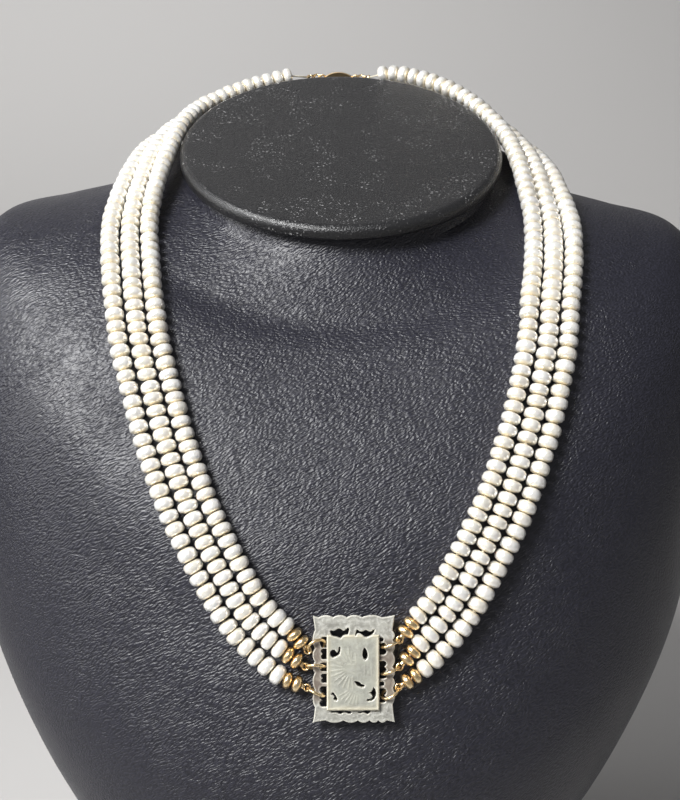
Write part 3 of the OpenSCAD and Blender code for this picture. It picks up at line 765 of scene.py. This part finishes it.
def make_cap():
    """The cap: a flat disc turned from a profile of two quarter circles, the small foot and
    the soft shoulder, with a short band between them, in the cap's leaning frame."""
    a = np.linspace(0, np.pi / 2, FOOT_ROWS)
    foot = columns(CAP_R - CAP_FOOT + CAP_FOOT * np.sin(a), CAP_FOOT * (1 - np.cos(a)))
    b = np.linspace(0, np.pi / 2, SHOULDER_ROWS)
    shoulder = columns(CAP_R - CAP_SHOULDER + CAP_SHOULDER * np.cos(b),
                       CAP_T - CAP_SHOULDER + CAP_SHOULDER * np.sin(b))
    inward = np.linspace(CAP_R - CAP_SHOULDER, 0, TOP_ROWS + 1)[1:]
    outward = np.linspace(0, CAP_R - CAP_FOOT, UNDER_ROWS + 1)[:-1]
    top = columns(inward, np.full(TOP_ROWS, CAP_T))
    under = columns(outward, np.zeros(UNDER_ROWS))
    profile = np.vstack([under, foot, shoulder, top]) - [0, CAP_T]
    lean = np.array([0, -math.sin(CAP_LEAN), math.cos(CAP_LEAN)])
    side = np.array([1.0, 0, 0])
    points, faces, _ = revolved(profile, CAP_AT[None], side[None], np.cross(lean, side)[None],
                                lean[None], CAP_SIDES)
    add_piece("cap_cover", new_mesh("cap_cover", points, faces), CAP_LEATHERETTE,
              "leatherette", "neck_cap")


# The strands

PEARL_SIDES = 14
PEARL_ROWS = 8
DIMPLE = 0.14
BORE_R = 0.4
# How the pearls differ. Growth, size and limits are shares of the plain pearl's.
FULLER = 1.01
GROWTH, GROWTH_LIMIT = 0.055, 0.1
SIZE, SIZE_SPREAD, SIZE_LIMITS = 1.018, 0.018, (0.97, 1.045)
TURNED_SHARE = 0.35
ROUND_FACE, BLUNT_FACE = (2.3, 2.7), (2.9, 3.7)
TILT, TILT_LIMIT = 0.045, 0.09
MEAN_R = 0.99
OVAL = (0.006, 0.024)
THREE_SIDED = 0.7


def pearl_profile(size, thickness, low_full, high_full):
    """Half outline of each pearl: a superellipse whose two faces are blunt in different
    degrees, and that dips a little into the hole at its two ends."""
    a = half_turn(PEARL_ROWS)
    full = np.where(a < 0, low_full[:, None], high_full[:, None])
    r, z = superellipse(a, size[:, None] / 2, thickness[:, None] / 2, full)
    r[:, 0] = r[:, -1] = BORE_R
    ends = columns(np.zeros(len(size)), z[:, -1] - DIMPLE)[:, None]
    body = np.stack([r, z], axis=-1)
    return np.concatenate([ends * [1, -1], body, ends], axis=1)


def shared_out(parts, groups):
    """Shares of three that add up to nothing within each group of three."""
    parts = parts.reshape(groups, 3)
    return (parts - parts.mean(axis=1, keepdims=True)).ravel()


def make_pearls(line, rng):
    """The pearls of a half strand. Each one sits on the straight piece of thread between its
    two gaps and differs a little in size, bluntness, roundness, tilt and tint."""
    front, gaps, _ = pearl_places(line)
    n = len(front)
    a, b = line.at(gaps[:-1]), line.at(gaps[1:])
    d = unit(b - a)
    thick = PEARL_T[line.strand]
    grown = thick * shared_out(rng.normal(0, GROWTH, n).clip(-GROWTH_LIMIT, GROWTH_LIMIT), n // 3)
    thickness = thick * FULLER + grown
    centre = a + d * (front + thick / 2 + np.cumsum(grown) - grown / 2 - gaps[:-1])[:, None]
    u, v = axes_along(centre, d)
    size = PEARL_D * rng.normal(SIZE, SIZE_SPREAD, n).clip(*SIZE_LIMITS)
    turned = rng.random(n) < TURNED_SHARE
    low_full = np.where(turned, rng.uniform(*ROUND_FACE, n), rng.uniform(*BLUNT_FACE, n))
    high_full = np.where(turned, rng.uniform(*BLUNT_FACE, n), rng.uniform(*ROUND_FACE, n))
    tilt = rng.normal(0, TILT, (2, n, 1)).clip(-TILT_LIMIT, TILT_LIMIT)
    d = unit(d + u * tilt[0] + v * tilt[1])
    u = unit(u - d * dot(u, d))
    v = np.cross(d, u)
    angle = angles(PEARL_SIDES)
    phase = rng.uniform(0, 2 * np.pi, (2, n, 1, 1))
    height = rng.uniform(*OVAL, (2, n, 1, 1)) * [[[[1]]], [[[THREE_SIDED]]]]
    wave = (MEAN_R + height[0] * np.cos(2 * angle + phase[0])
            + height[1] * np.cos(3 * angle + phase[1]))
    profile = pearl_profile(size, thickness, low_full, high_full)
    points, faces, each = revolved(profile, centre, u, v, d, PEARL_SIDES, wave)
    # end: 0 at a pearl's rim, 1 at its drilled ends, where the finish paints shade
    edge = np.abs(profile[..., 1]) / (thickness[:, None] / 2)
    rings = np.repeat(edge[:, 1:-1], PEARL_SIDES, axis=1)
    end = np.concatenate([rings, edge[:, :1], edge[:, -1:]], axis=1)
    marks = {"tint": np.repeat(rng.random(n), each), "end": end.ravel()}
    return new_mesh("pearls", points, faces, marks)


SILK_SIDES = 8
KNOT_R = 0.62
KNOT_SHARE = 0.55
KNOT_ROWS, KNOT_SIDES = 7, 10
KNOT_LUMPS = (0.16, 0.08)


def make_silk(line, rng):
    """The thread of a half strand from end loop to end loop, through the middles of the gaps,
    with a knot after every third pearl: a ball whose rim swells by two waves."""
    _, gaps, knot = pearl_places(line)
    points = line.at(np.concatenate([[THREAD_FROM], gaps, [line.length - THREAD_FROM]]))
    thread = tube(points, unit(np.gradient(points, axis=0)), THREAD_R, SILK_SIDES)
    tied = gaps[3:-1:3]
    centre, d = line.at(tied), line.heading(tied, reach=1)
    u, v = axes_along(centre, d)
    a = half_turn(KNOT_ROWS)
    profile = columns(np.cos(a) * KNOT_R, np.sin(a) * min(knot * KNOT_SHARE, KNOT_R))
    angle = angles(KNOT_SIDES)
    phase = rng.uniform(0, 2 * np.pi, (len(tied), 1, 1))
    wave = (1 + KNOT_LUMPS[0] * np.cos(2 * angle + phase)
            + KNOT_LUMPS[1] * np.cos(3 * angle + 2 * phase))
    knots, faces, _ = revolved(profile, centre, u, v, d, KNOT_SIDES, wave)
    return new_mesh("silk", *merged([thread, (knots, faces)]))


def make_strands():
    """Pearls and thread of the six half strands. The outer ones have no thread node."""
    for strand, name, side in HALVES:
        line = LINES[side, strand]
        # A seed of its own for each half strand
        rng = np.random.default_rng(100 * STRANDS.index(strand) + 10 + side)
        add_piece(f"{strand}_pearl_row_{name}", make_pearls(line, rng), PEARL, "pearl",
                  f"{strand}_pearls_{name}")
        nodes = [] if strand == "outer" else [f"{strand}_thread_{name}"]
        add_piece(f"{strand}_silk_{name}", make_silk(line, rng), SILK, "silk_thread", *nodes)


# The gold

SAUCER_SIDES = 40
SAUCER_ROWS = 17
SAUCER_FULL = 2.6
SAUCER_DIMPLE = 0.3
SAUCER_GROWN = 1.01
SAUCER_WAVES = (0.012, 0.006)


def make_gold_beads():
    """The gold saucer beads: a superellipse turned round the thread, that dips into the hole
    and is faintly uneven round its rim."""
    rng = np.random.default_rng(7)
    r, z = superellipse(half_turn(SAUCER_ROWS), SAUCER_D / 2, SAUCER_T / 2, SAUCER_FULL)
    r[0] = r[-1] = BORE_R
    dip = SAUCER_T / 2 - SAUCER_DIMPLE
    profile = np.vstack([[0, -dip], columns(r, z), [0, dip]])
    angle = angles(SAUCER_SIDES)
    for strand, name, side in HALVES:
        line = LINES[side, strand]
        for number in (1, 2):
            s = saucer_mid(number)
            d = line.heading(s)[None]
            centre = line.at(s)[None]
            u, v = axes_along(centre, d)
            phase = rng.uniform(0, 2 * np.pi, 2)
            wave = (SAUCER_GROWN + SAUCER_WAVES[0] * np.cos(2 * angle + phase[0])
                    + SAUCER_WAVES[1] * np.cos(5 * angle + phase[1]))[None, None]
            points, faces, _ = revolved(profile, centre, u, v, d, SAUCER_SIDES, wave)
            node = f"gold_bead_{strand}_{name}_{number}"
            add_piece(f"saucer_{strand}_{name}_{number}", new_mesh(node, points, faces), GOLD,
                      "gold", node)


JUMP_LOOK_WIRE = 0.86


def make_jump_rings():
    """The large rings through the plaque, each leaning in its own way, with a soldered seam."""
    for strand, name, side in HALVES:
        a = pull(side, strand)
        lean = math.radians(RING_HOLES[strand][side][3])
        b = PLAQUE_N * math.cos(lean) + np.cross(PLAQUE_N, a) * math.sin(lean)
        points, faces = hoop(hole_at(side, strand) + a * JUMP_R, a, b, JUMP_R, JUMP_LOOK_WIRE)
        node = f"jump_ring_{strand}_{name}"
        add_piece(f"plaque_ring_{strand}_{name}", new_mesh(node, points, faces), GOLD, "gold", node)


def finish_small_gold():
    """The turned and bent gold whose CAD form is right keeps it and takes the gold finish."""
    for name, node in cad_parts.items():
        if name.startswith(("end_loop", "clasp")):
            for slot in node.material_slots:
                slot.material = BRUSHED_GOLD if name == "clasp" else GOLD


# The plaque

BAND_T = 1.6
PANEL_T = 2.8
PLAQUE_W, PLAQUE_H, PLAQUE_MID_Y = 24.2, 31.5, -0.1
PLAQUE_HALF = PLAQUE_W / 2
PLAQUE_TOP = PLAQUE_MID_Y + PLAQUE_H / 2
PLAQUE_BOTTOM = PLAQUE_MID_Y - PLAQUE_H / 2
# The panel's left, right, lower and upper edges
PANEL = (-7.95, 7.5, -12.1, 10.0)
# Where the scalloped edges dip, along each edge
DIPS = {
    "top": (-10.3, -6.1, -2, 2.5, 8.3),
    "right": (-10.4, -5.7, -2.7, 0.5, 4.6, 8.4, 11),
    "bottom": (-8.2, -3, 1.2, 4.6, 7.2, 9.6),
    "left": (-11.4, -6.2, -1.2, 2, 5.9, 11.2),
}
SCALLOP = 0.7
SCALLOP_POWER = 0.8
EAR = 0.35
# Corners of the openings cut through the panel and its border, x and y in turn
OPENINGS = [
    (-7.05, 11.3, -6.2, 11.1, -5.4, 11.2, -4.8, 11.7, -4.1, 11.8, -3.5, 11.4, -3.0, 11.0, -2.2, 11.6,
     -1.6, 12.1, -1.3, 11.5, -1.45, 10.6, -1.7, 10.0, -2.5, 9.9, -3.2, 9.65, -3.6, 9.1, -4.0, 8.9,
     -4.6, 9.2, -5.2, 9.4, -6.0, 9.5, -6.8, 10.0),
    (0.8, 11.5, 1.3, 11.3, 1.8, 10.85, 2.7, 10.9, 3.5, 11.4, 4.2, 11.0, 5.1, 10.8, 5.6, 11.25,
     6.1, 11.6, 6.2, 11.1, 5.9, 10.5, 5.4, 9.9, 4.6, 9.5, 3.7, 9.15, 3.1, 9.4, 2.5, 9.9, 1.8, 10.35,
     0.95, 10.3, 0.6, 9.6, 0.35, 9.7, 0.6, 10.6),
    (-7.0, 4.4, -6.9, 5.2, -6.3, 5.65, -5.65, 5.7, -5.3, 5.3, -5.0, 4.8, -4.7, 5.0, -4.5, 5.5,
     -4.5, 6.2, -4.2, 6.6, -3.9, 6.4, -3.9, 5.7, -4.1, 4.7, -4.4, 4.0, -5.0, 3.7, -5.6, 3.4,
     -6.1, 3.25, -6.6, 3.5, -6.9, 4.0),
    (3.15, 6.4, 3.55, 5.9, 3.95, 5.1, 4.15, 3.95, 3.95, 3.15, 3.45, 2.6, 3.05, 2.8, 2.7, 3.4,
     2.5, 4.15, 2.65, 5.2, 2.9, 6.05),
    (0.1, -3.5, 0.9, -3.55, 1.6, -3.75, 2.0, -4.05, 2.2, -4.4, 2.8, -4.55, 3.3, -4.75, 3.2, -5.05,
     2.85, -5.45, 2.2, -5.4, 1.6, -5.15, 1.0, -4.9, 0.5, -4.2),
    (-6.15, -6.7, -5.65, -7.2, -5.15, -8.0, -4.75, -8.9, -5.0, -9.25, -5.7, -9.1, -6.05, -8.75,
     -5.85, -8.4, -5.7, -8.0, -6.0, -7.7, -6.6, -7.6, -6.75, -7.3, -6.5, -7.0),
    (5.75, -5.25, 6.2, -5.75, 6.5, -6.55, 6.6, -7.3, 6.4, -8.1, 5.95, -8.8, 5.35, -9.2, 4.7, -9.35,
     4.25, -9.5, 3.8, -9.25, 3.75, -8.9, 4.1, -8.65, 4.75, -8.75, 5.25, -8.5, 5.45, -8.1, 5.35, -7.65,
     5.0, -7.25, 4.5, -7.05, 4.7, -6.75, 5.2, -6.6, 5.5, -6.1, 5.6, -5.6),
    (-6.75, -12.45, -6.65, -12.85, -5.9, -12.9, -5.15, -12.85, -4.65, -13.1, -4.0, -13.4,
     -3.5, -13.15, -2.85, -12.75, -2.2, -12.95, -1.45, -13.3, -0.95, -13.2, -0.7, -12.85,
     -0.8, -12.5, -2.0, -12.45, -3.0, -12.25, -3.9, -12.2, -4.75, -12.35, -5.8, -12.45),
    (1.0, -12.55, 1.2, -12.95, 1.85, -13.15, 2.45, -12.9, 3.0, -12.9, 3.5, -13.15, 4.2, -13.5,
     4.5, -13.05, 5.1, -12.7, 5.0, -12.4, 4.3, -12.2, 3.6, -12.2, 2.85, -12.45, 1.85, -12.5),
    (6.15, -12.3, 6.65, -12.2, 7.2, -12.2, 7.2, -12.4, 6.8, -12.55, 6.25, -12.6),
]
# Openings between the panel and its side borders: side, from, to, width, lobes
SIDE_OPENINGS = [
    (LEFT, 6.1, 9.3, 2.0, 1),
    (LEFT, 2.7, 5.9, 1.7, 2),
    (LEFT, -0.8, 1.8, 2.1, 1),
    (LEFT, -4.2, -1.5, 1.7, 2),
    (LEFT, -11.2, -5.2, 2.1, 3),
    (RIGHT, 7.9, 9.1, 1.3, 1),
    (RIGHT, 4.0, 7.5, 2.1, 2),
    (RIGHT, -3.0, 2.2, 2.1, 3),
    (RIGHT, -5.1, -3.8, 1.5, 1),
    (RIGHT, -10.0, -5.8, 2.1, 2),
]
LOBE_CUSP = 0.66
LOBE_POWER = 0.7
LOBE_POINTS = 24
PAST_PANEL = 0.02
# Carved strokes on the panel: from x, y to x, y, then half width and height
STROKES = [
    (-2.4, 4.2, -1.0, 4.25, 0.2, 0.10),
    (0.8, 4.35, 2.3, 4.4, 0.2, 0.10),
    (-0.7, 4.9, -0.75, 1.6, 0.22, 0.12),
    (0.6, 4.6, 0.65, 1.3, 0.22, 0.12),
    (-1.6, 3.3, -0.9, 3.25, 0.2, 0.09),
    (-0.6, 2.5, 0.55, 2.5, 0.2, 0.11),
    (-1.7, 1.4, 0.6, 1.2, 0.22, 0.12),
    (-7.3, 2.3, -4.6, 2.75, 0.25, 0.12),
    (-4.6, 2.75, -2.4, 2.3, 0.25, 0.12),
    (-3.6, 0.3, 1.4, -1.9, 0.3, 0.10),
    (3.2, 2.0, 3.3, -1.8, 0.16, 0.09),
    (4.2, 2.1, 4.3, -1.9, 0.16, 0.09),
    (5.2, 2.0, 5.3, -2.2, 0.16, 0.09),
    (1.0, 7.6, 1.2, 5.2, 0.25, 0.08),
    (-1.6, 7.4, -1.4, 5.6, 0.25, 0.07),
    (-4.4, -11.3, -1.2, -10.7, 0.45, 0.16),
    (1.0, -11.3, 5.4, -10.6, 0.45, 0.16),
]
FAN_AT = (-0.6, 0.2)
FAN = [(100 + 14.5 * k, 2.6 + 0.3 * (k % 2), 6.3 - 0.08 * abs(k - 6)) for k in range(13)]
FAN_STROKE = (0.24, 0.16)
FEATHER_AT = (1.2, -4.4)
FEATHER = [(212 + 11 * k, 3.2, 6.6 - 0.12 * k) for k in range(6)]
FEATHER_STROKE = (0.22, 0.12)
CARVING_DEPTH = 0.6
EDGE_ROUND = 0.3
CARVED_EDGE = 0.35
# Ridges and hollows that follow the edges: distance in from the edge, width and height
PANEL_LIP = (0.42, 0.3, 0.16)
PANEL_SINK = (0, 2.6, 0.1)
BORDER_DIP = (0.9, 0.5, 0.12)
OUTLINE_STEP = 0.08
CUT_STEP = 0.06
CUT_REACH = 1.5
NEAR_BATCH = 200
GRID = 0.17
# The grid's lines by a panel edge, inward from it, and how near to them a plain line goes
EDGE_LINES = (-0.03, 0.0, 0.05, 0.12, 0.22, 0.34)
LINE_GAP = 0.06
ON_EDGE = 1e-6
PLAQUE_CREASE = 50
# Where the stone's colours change: a painted highlight along cut edges, round the panel, and on the
# carving
RIM_HIGHLIGHT_WIDE = 0.28
CREAM_WIDE = 1.0
CREAM_CARVING, CREAM_MOST = 1.5, 0.3
# The pierced side borders take a brown painted shade, partly the dark seen through the thin stone, past
# a distance from this middle, over the length given.
SHADE_MIDDLE = (-0.2, -0.6)
SHADE_BESIDE = (7.6, 0.4)
SHADE_ALONG = (9.8, -1.6)


def dips_depth(along, edge, low, high):
    """How far a scalloped edge stands back from its tips: a half sine between dips, and a
    straight slope up to the ear at each corner."""
    dips = np.array(DIPS[edge], float)
    i = np.clip(np.searchsorted(dips, along) - 1, 0, len(dips) - 2)
    t = (along - dips[i]) / (dips[i + 1] - dips[i])
    depth = SCALLOP * (1 - np.abs(np.sin(np.pi * t)) ** SCALLOP_POWER)
    for past, t in ((along < dips[0], (along - low) / (dips[0] - low)),
                    (along > dips[-1], (high - along) / (high - dips[-1]))):
        depth = np.where(past, SCALLOP * np.clip(t, 0, 1) ** (1 / (1 + EAR)), depth)
    return depth


def plaque_outline():
    """The plaque's outer edge as a closed line of close points."""
    w, top, bottom = PLAQUE_HALF, PLAQUE_TOP, PLAQUE_BOTTOM
    x = np.arange(-w, w, OUTLINE_STEP)
    y = np.arange(bottom, top, OUTLINE_STEP)
    return np.vstack([
        columns(x, top - dips_depth(x, "top", -w, w)),
        columns(w - dips_depth(y, "right", bottom, top), y)[::-1],
        columns(x, bottom + dips_depth(x, "bottom", -w, w))[::-1],
        columns(-w + dips_depth(y, "left", bottom, top), y),
    ])


def softened(corners):
    """A closed line of close points: each corner is cut twice, a quarter in from each side."""
    points = np.array(corners, float).reshape(-1, 2)
    for _ in range(2):
        after = np.roll(points, -1, axis=0)
        pairs = columns(points * 0.75 + after * 0.25, points * 0.25 + after * 0.75)
        points = pairs.reshape(-1, 2)
    return resampled(points)


def resampled(points):
    """The closed line through the points, with points at even steps along it."""
    closed = np.vstack([points, points[:1]])
    stops = np.concatenate([[0], np.cumsum(np.linalg.norm(np.diff(closed, axis=0), axis=1))])
    s = np.arange(0, stops[-1], CUT_STEP)
    return columns(*(np.interp(s, stops, closed[:, k]) for k in range(2)))


def side_opening(side, low, high, width, lobes):
    """Straight along the panel's edge, and lobed with cusps between along the border."""
    t = np.linspace(0, 1, LOBE_POINTS * lobes + 1)
    reach = width * (LOBE_CUSP + (1 - LOBE_CUSP) * np.abs(np.sin(np.pi * lobes * t)) ** LOBE_POWER)
    x = PANEL[0] - PAST_PANEL if side == LEFT else PANEL[1] + PAST_PANEL
    outer = columns(x + side * reach, low + (high - low) * t)
    return resampled(np.vstack([[x, low], outer, [x, high]]))


def inside_line(line, points):
    """Whether points are inside a closed line: each one's level ray crosses an odd number of
    its sides."""
    x0, y0 = line.T
    x1, y1 = np.roll(line, -1, axis=0).T
    px, py = points[:, :1], points[:, 1:]
    crosses = (y0 > py) != (y1 > py)
    with np.errstate(divide="ignore", invalid="ignore"):
        at = x0 + (py - y0) * (x1 - x0) / (y1 - y0)
    return np.sum(crosses & (px < at), axis=1) % 2 == 1


def near(line, points):
    """Distance from each point to the nearest point of a line, worked out in batches."""
    best = np.full(len(points), np.inf)
    for part in np.array_split(np.arange(len(line)), max(1, len(line) // NEAR_BATCH)):
        d = points[:, None] - line[part]
        best = np.minimum(best, np.sqrt(np.min(np.sum(d * d, axis=-1), axis=1)))
    return best


def plaque_depth(points):
    """Distance to the nearest cut edge, above zero in the stone and below zero outside it."""
    outline = resampled(plaque_outline())
    depth = near(outline, points) * np.where(inside_line(outline, points), 1, -1)
    cuts = [softened(c) for c in OPENINGS] + [side_opening(*row) for row in SIDE_OPENINGS]
    for cut in cuts:
        low, high = cut.min(axis=0) - CUT_REACH, cut.max(axis=0) + CUT_REACH
        mine = np.all((points > low) & (points < high), axis=1)
        away = near(cut, points[mine]) * np.where(inside_line(cut, points[mine]), -1, 1)
        depth[mine] = np.minimum(depth[mine], away)
    return depth


def stroke_height(points, strokes):
    """Height of carved strokes: each one is a ridge with a bell-shaped section."""
    height = np.zeros(len(points))
    for x0, y0, x1, y1, half, high in strokes:
        a, b = np.array([x0, y0]), np.array([x1, y1])
        t = np.clip((points - a) @ (b - a) / np.sum((b - a) ** 2), 0, 1)
        away = np.linalg.norm(points - a - t[:, None] * (b - a), axis=1)
        height = np.maximum(height, high * bell(away, 0, half))
    return height


def spray(centre, rays, stroke):
    """Strokes that spread from a centre, by rays of degrees, from and to."""
    strokes = []
    for turn, start, end in rays:
        c, s = math.cos(math.radians(turn)), math.sin(math.radians(turn))
        ends = (centre[0] + start * c, centre[1] + start * s, centre[0] + end * c, centre[1] + end * s)
        strokes.append((*ends, *stroke))
    return strokes


def panel_depth(points):
    """Distance inside the panel's square edge, below zero outside it."""
    x, y = points.T
    return np.min([x - PANEL[0], PANEL[1] - x, y - PANEL[2], PANEL[3] - y], axis=0)


def rounded(depth, radius):
    """How far a surface falls at an edge that is rounded by a quarter circle."""
    t = np.clip(depth / radius, 0, 1)
    return radius * (1 - np.sqrt(1 - (1 - t) ** 2))


def grid_lines(low, high, edges):
    """Even grid lines, with closer ones at the panel's edges so that its step stands square."""
    lines = np.linspace(low, high, round((high - low) / GRID) + 1)
    for edge, inward in edges:
        near_edge = edge + inward * np.array(EDGE_LINES)
        kept = np.abs(lines[:, None] - near_edge).min(axis=1) > LINE_GAP
        lines = np.concatenate([lines[kept], near_edge])
    return np.sort(lines)


def clipped(points, depth, quads):
    """The part of a grid where depth is above zero, as triangles. Sides of triangles that
    cross the edge are cut there, where the depth between their ends is zero."""
    triangles = np.vstack([quads[:, [0, 1, 2]], quads[:, [0, 2, 3]]])
    inside = depth[triangles] > 0
    count = inside.sum(axis=1)
    whole = triangles[count == 3]
    new_points, new_faces, pairs = [], [], {}

    def cut(a, b):
        key = (min(a, b), max(a, b))
        if key not in pairs:
            t = depth[a] / (depth[a] - depth[b])
            pairs[key] = len(points) + len(new_points)
            new_points.append(points[a] + (points[b] - points[a]) * t)
        return pairs[key]

    crossed = (count > 0) & (count < 3)
    for row, keep in zip(triangles[crossed], inside[crossed]):
        turn = int(np.argmax(keep)) if keep.sum() == 1 else int((np.argmin(keep) + 1) % 3)
        a, b, c = np.roll(row, -turn)
        if keep.sum() == 1:
            new_faces.append((a, cut(a, b), cut(a, c)))
        else:
            new_faces.append((a, b, cut(b, c)))
            new_faces.append((a, cut(b, c), cut(a, c)))
    faces = np.vstack([whole, np.array(new_faces)])
    return np.vstack([points, np.array(new_points)]), faces


def relief(inside, ridge):
    """Height of a ridge that follows an edge at a distance inside it."""
    at, width, high = ridge
    return high * bell(inside, at, width)


def share(x, start, length):
    """0 up to a start, 1 a length past it, and straight between. A length may be negative."""
    return np.clip((x - start) / length, 0, 1)


def plaque_plane():
    """The plaque's plane as points and triangles, cut to its outline and its openings."""
    xs = grid_lines(-PLAQUE_HALF - GRID, PLAQUE_HALF + GRID, [(PANEL[0], 1), (PANEL[1], -1)])
    ys = grid_lines(PLAQUE_BOTTOM - GRID, PLAQUE_TOP + GRID, [(PANEL[2], 1), (PANEL[3], -1)])
    x, y = np.meshgrid(xs, ys)
    flat = columns(x.ravel(), y.ravel())
    flat, faces = clipped(flat, plaque_depth(flat), grid_faces(len(ys), len(xs), wrap=False))
    used, faces = np.unique(faces, return_inverse=True)
    return flat[used], faces.reshape(-1, 3)


def edge_walls(faces, n):
    """Quads from the top to the back, n points on, along the sides that one triangle has."""
    sides = columns(faces[:, [0, 1]], faces[:, [1, 2]], faces[:, [2, 0]]).reshape(-1, 2)
    _, index, count = np.unique(np.sort(sides, axis=1), axis=0, return_index=True, return_counts=True)
    a, b = sides[index[count == 1]].T
    return columns(b, a, a + n, b + n)


def make_plaque():
    """The plaque as a height field over its plane. Its top is the panel's or the border's,
    rounded down at every cut edge, with the carving on the panel. Its back is flat, and walls
    join the two along the cut edges."""
    flat, faces = plaque_plane()
    n = len(flat)
    depth = np.maximum(plaque_depth(flat), 0)
    inside = panel_depth(flat)
    on_panel = inside >= -ON_EDGE
    from_edge = np.clip(inside, 0, None)
    strokes = STROKES + spray(FAN_AT, FAN, FAN_STROKE) + spray(FEATHER_AT, FEATHER, FEATHER_STROKE)
    carving = CARVING_DEPTH * stroke_height(flat, strokes)
    panel = (PANEL_T - BAND_T / 2 + carving + relief(inside, PANEL_LIP)
             - relief(from_edge, PANEL_SINK) - rounded(inside, CARVED_EDGE))
    border = BAND_T / 2 - relief(depth, BORDER_DIP)
    high = np.where(on_panel, panel, border) - rounded(depth, EDGE_ROUND)
    low = -BAND_T / 2 + rounded(depth, EDGE_ROUND)
    both = np.vstack([flat, flat])
    z = np.concatenate([high, low])
    points = PLAQUE_AT + both[:, :1] * PLAQUE_X + both[:, 1:] * PLAQUE_Y + z[:, None] * PLAQUE_N
    # Painted shade on the pierced side borders, partly the dark seen through the thin stone
    beside, along = np.abs(flat - SHADE_MIDDLE).T
    shade = share(beside, *SHADE_BESIDE) * share(along, *SHADE_ALONG)
    cream = bell(from_edge, 0, CREAM_WIDE) * on_panel
    marks = {
        # rim: a painted highlight along every cut edge
        "rim": bell(depth, 0, RIM_HIGHLIGHT_WIDE),
        "shade": np.where(on_panel, 0, shade),
        "cream": cream + np.clip(carving * CREAM_CARVING, 0, CREAM_MOST),
        "panel": on_panel.astype(float),
    }
    marks = {name: np.tile(values, 2) for name, values in marks.items()}
    mesh = new_mesh("plaque_stone", points, [faces, faces[:, ::-1] + n, edge_walls(faces, n)], marks)
    crease(mesh, PLAQUE_CREASE)
    add_piece("plaque_stone", mesh, STONE, "carved_stone", "plaque")


# Camera, light and floor

PHOTO_W = 680
FOCAL_PX = 1695
SENSOR = 36.0
CAMERA_TURNS = (15.0, -1.1, 0.95)
CAMERA_AIM = (3.2, -62.5, 190.6)
CAMERA_AWAY = 500
CAMERA_RANGE = (0.01, 20)


def make_camera():
    """Looks down at the plaque from half a metre away: pitched down, turned and rolled."""
    pitch, turn, roll = (math.radians(a) for a in CAMERA_TURNS)
    level = Vector((math.cos(turn), -math.sin(turn), 0))
    forward = Vector((math.sin(turn) * math.cos(pitch), math.cos(turn) * math.cos(pitch),
                      -math.sin(pitch)))
    rise = level.cross(forward)
    right = level * math.cos(roll) + rise * math.sin(roll)
    up = rise * math.cos(roll) - level * math.sin(roll)
    place = (Vector(CAMERA_AIM) - forward * CAMERA_AWAY) * MM
    camera = bpy.data.cameras.new("camera")
    camera.sensor_fit = "HORIZONTAL"
    camera.sensor_width = SENSOR
    camera.lens = FOCAL_PX / PHOTO_W * SENSOR
    camera.clip_start, camera.clip_end = CAMERA_RANGE
    seen = put("camera", camera)
    turned = Matrix((right, up, -forward)).transposed().to_4x4()
    seen.matrix_world = Matrix.Translation(place) @ turned
    bpy.context.scene.camera = seen


def add_lamp(name, place, aim, size, power, spread):
    """A soft rectangular lamp at a place in metres, turned to its aim. spread is the width of
    its beam in degrees."""
    lamp = bpy.data.lights.new(name, "AREA")
    lamp.shape = "RECTANGLE"
    lamp.size, lamp.size_y = size
    lamp.energy = power
    lamp.spread = math.radians(spread)
    holder = put(name, lamp)
    holder.location = place
    holder.rotation_euler = (Vector(aim) - Vector(place)).to_track_quat("-Z", "Y").to_euler()


BUST_MIDDLE = (-0.02, 0, 0.2)


def make_light():
    """A pale even sky, a high lamp and a window at the left, and a lamp for the wall alone."""
    world = bpy.data.worlds.new("studio")
    world.use_nodes = True
    background = world.node_tree.nodes["Background"]
    background.inputs["Color"].default_value = rgb(0.95, 0.95, 0.97)
    background.inputs["Strength"].default_value = 0.24
    bpy.context.scene.world = world
    add_lamp("key_panel", (-0.70, -0.80, 1.1), BUST_MIDDLE, size=(0.6, 0.6), power=3.1, spread=44)
    add_lamp("window", (-1.4, -0.25, 0.6), BUST_MIDDLE, size=(1.0, 1.0), power=2.0, spread=70)
    add_lamp("wall_panel", (-0.7, 0.5, 1.9), (-0.4, 1.6, 0.7), size=(1.2, 0.4), power=11.5, spread=90)


FLOOR_FRONT, FLOOR_BACK, FLOOR_HALF = -3.0, 1.6, 3.0
WALL_HEIGHT = 2.5
SWEEP_R = 0.5
SWEEP_STEPS = 24


def make_floor():
    """A pale floor that sweeps up to a wall: a quarter circle joins the two."""
    a = np.linspace(0, np.pi / 2, SWEEP_STEPS)
    y = np.concatenate([[FLOOR_FRONT], FLOOR_BACK - SWEEP_R + SWEEP_R * np.sin(a), [FLOOR_BACK]])
    z = np.concatenate([[0.0], SWEEP_R * (1 - np.cos(a)), [WALL_HEIGHT]])
    sides = [columns(np.full(len(y), x), y, z) for x in (-FLOOR_HALF, FLOOR_HALF)]
    points = np.concatenate(sides) / MM
    n = len(y)
    i = np.arange(n - 1)
    faces = columns(i, i + n, i + n + 1, i + 1)
    mesh = new_mesh("floor", points, [faces])
    f = Finish("pale_floor")
    mesh.materials.append(f.done(Base_Color=rgb(0.51, 0.50, 0.49), Roughness=0.8))
    put("floor", mesh)


make_bust()
make_cap()
make_strands()
make_gold_beads()
make_jump_rings()
finish_small_gold()
make_plaque()
make_camera()
make_light()
make_floor()
bpy.context.scene.view_settings.view_transform = "Standard"
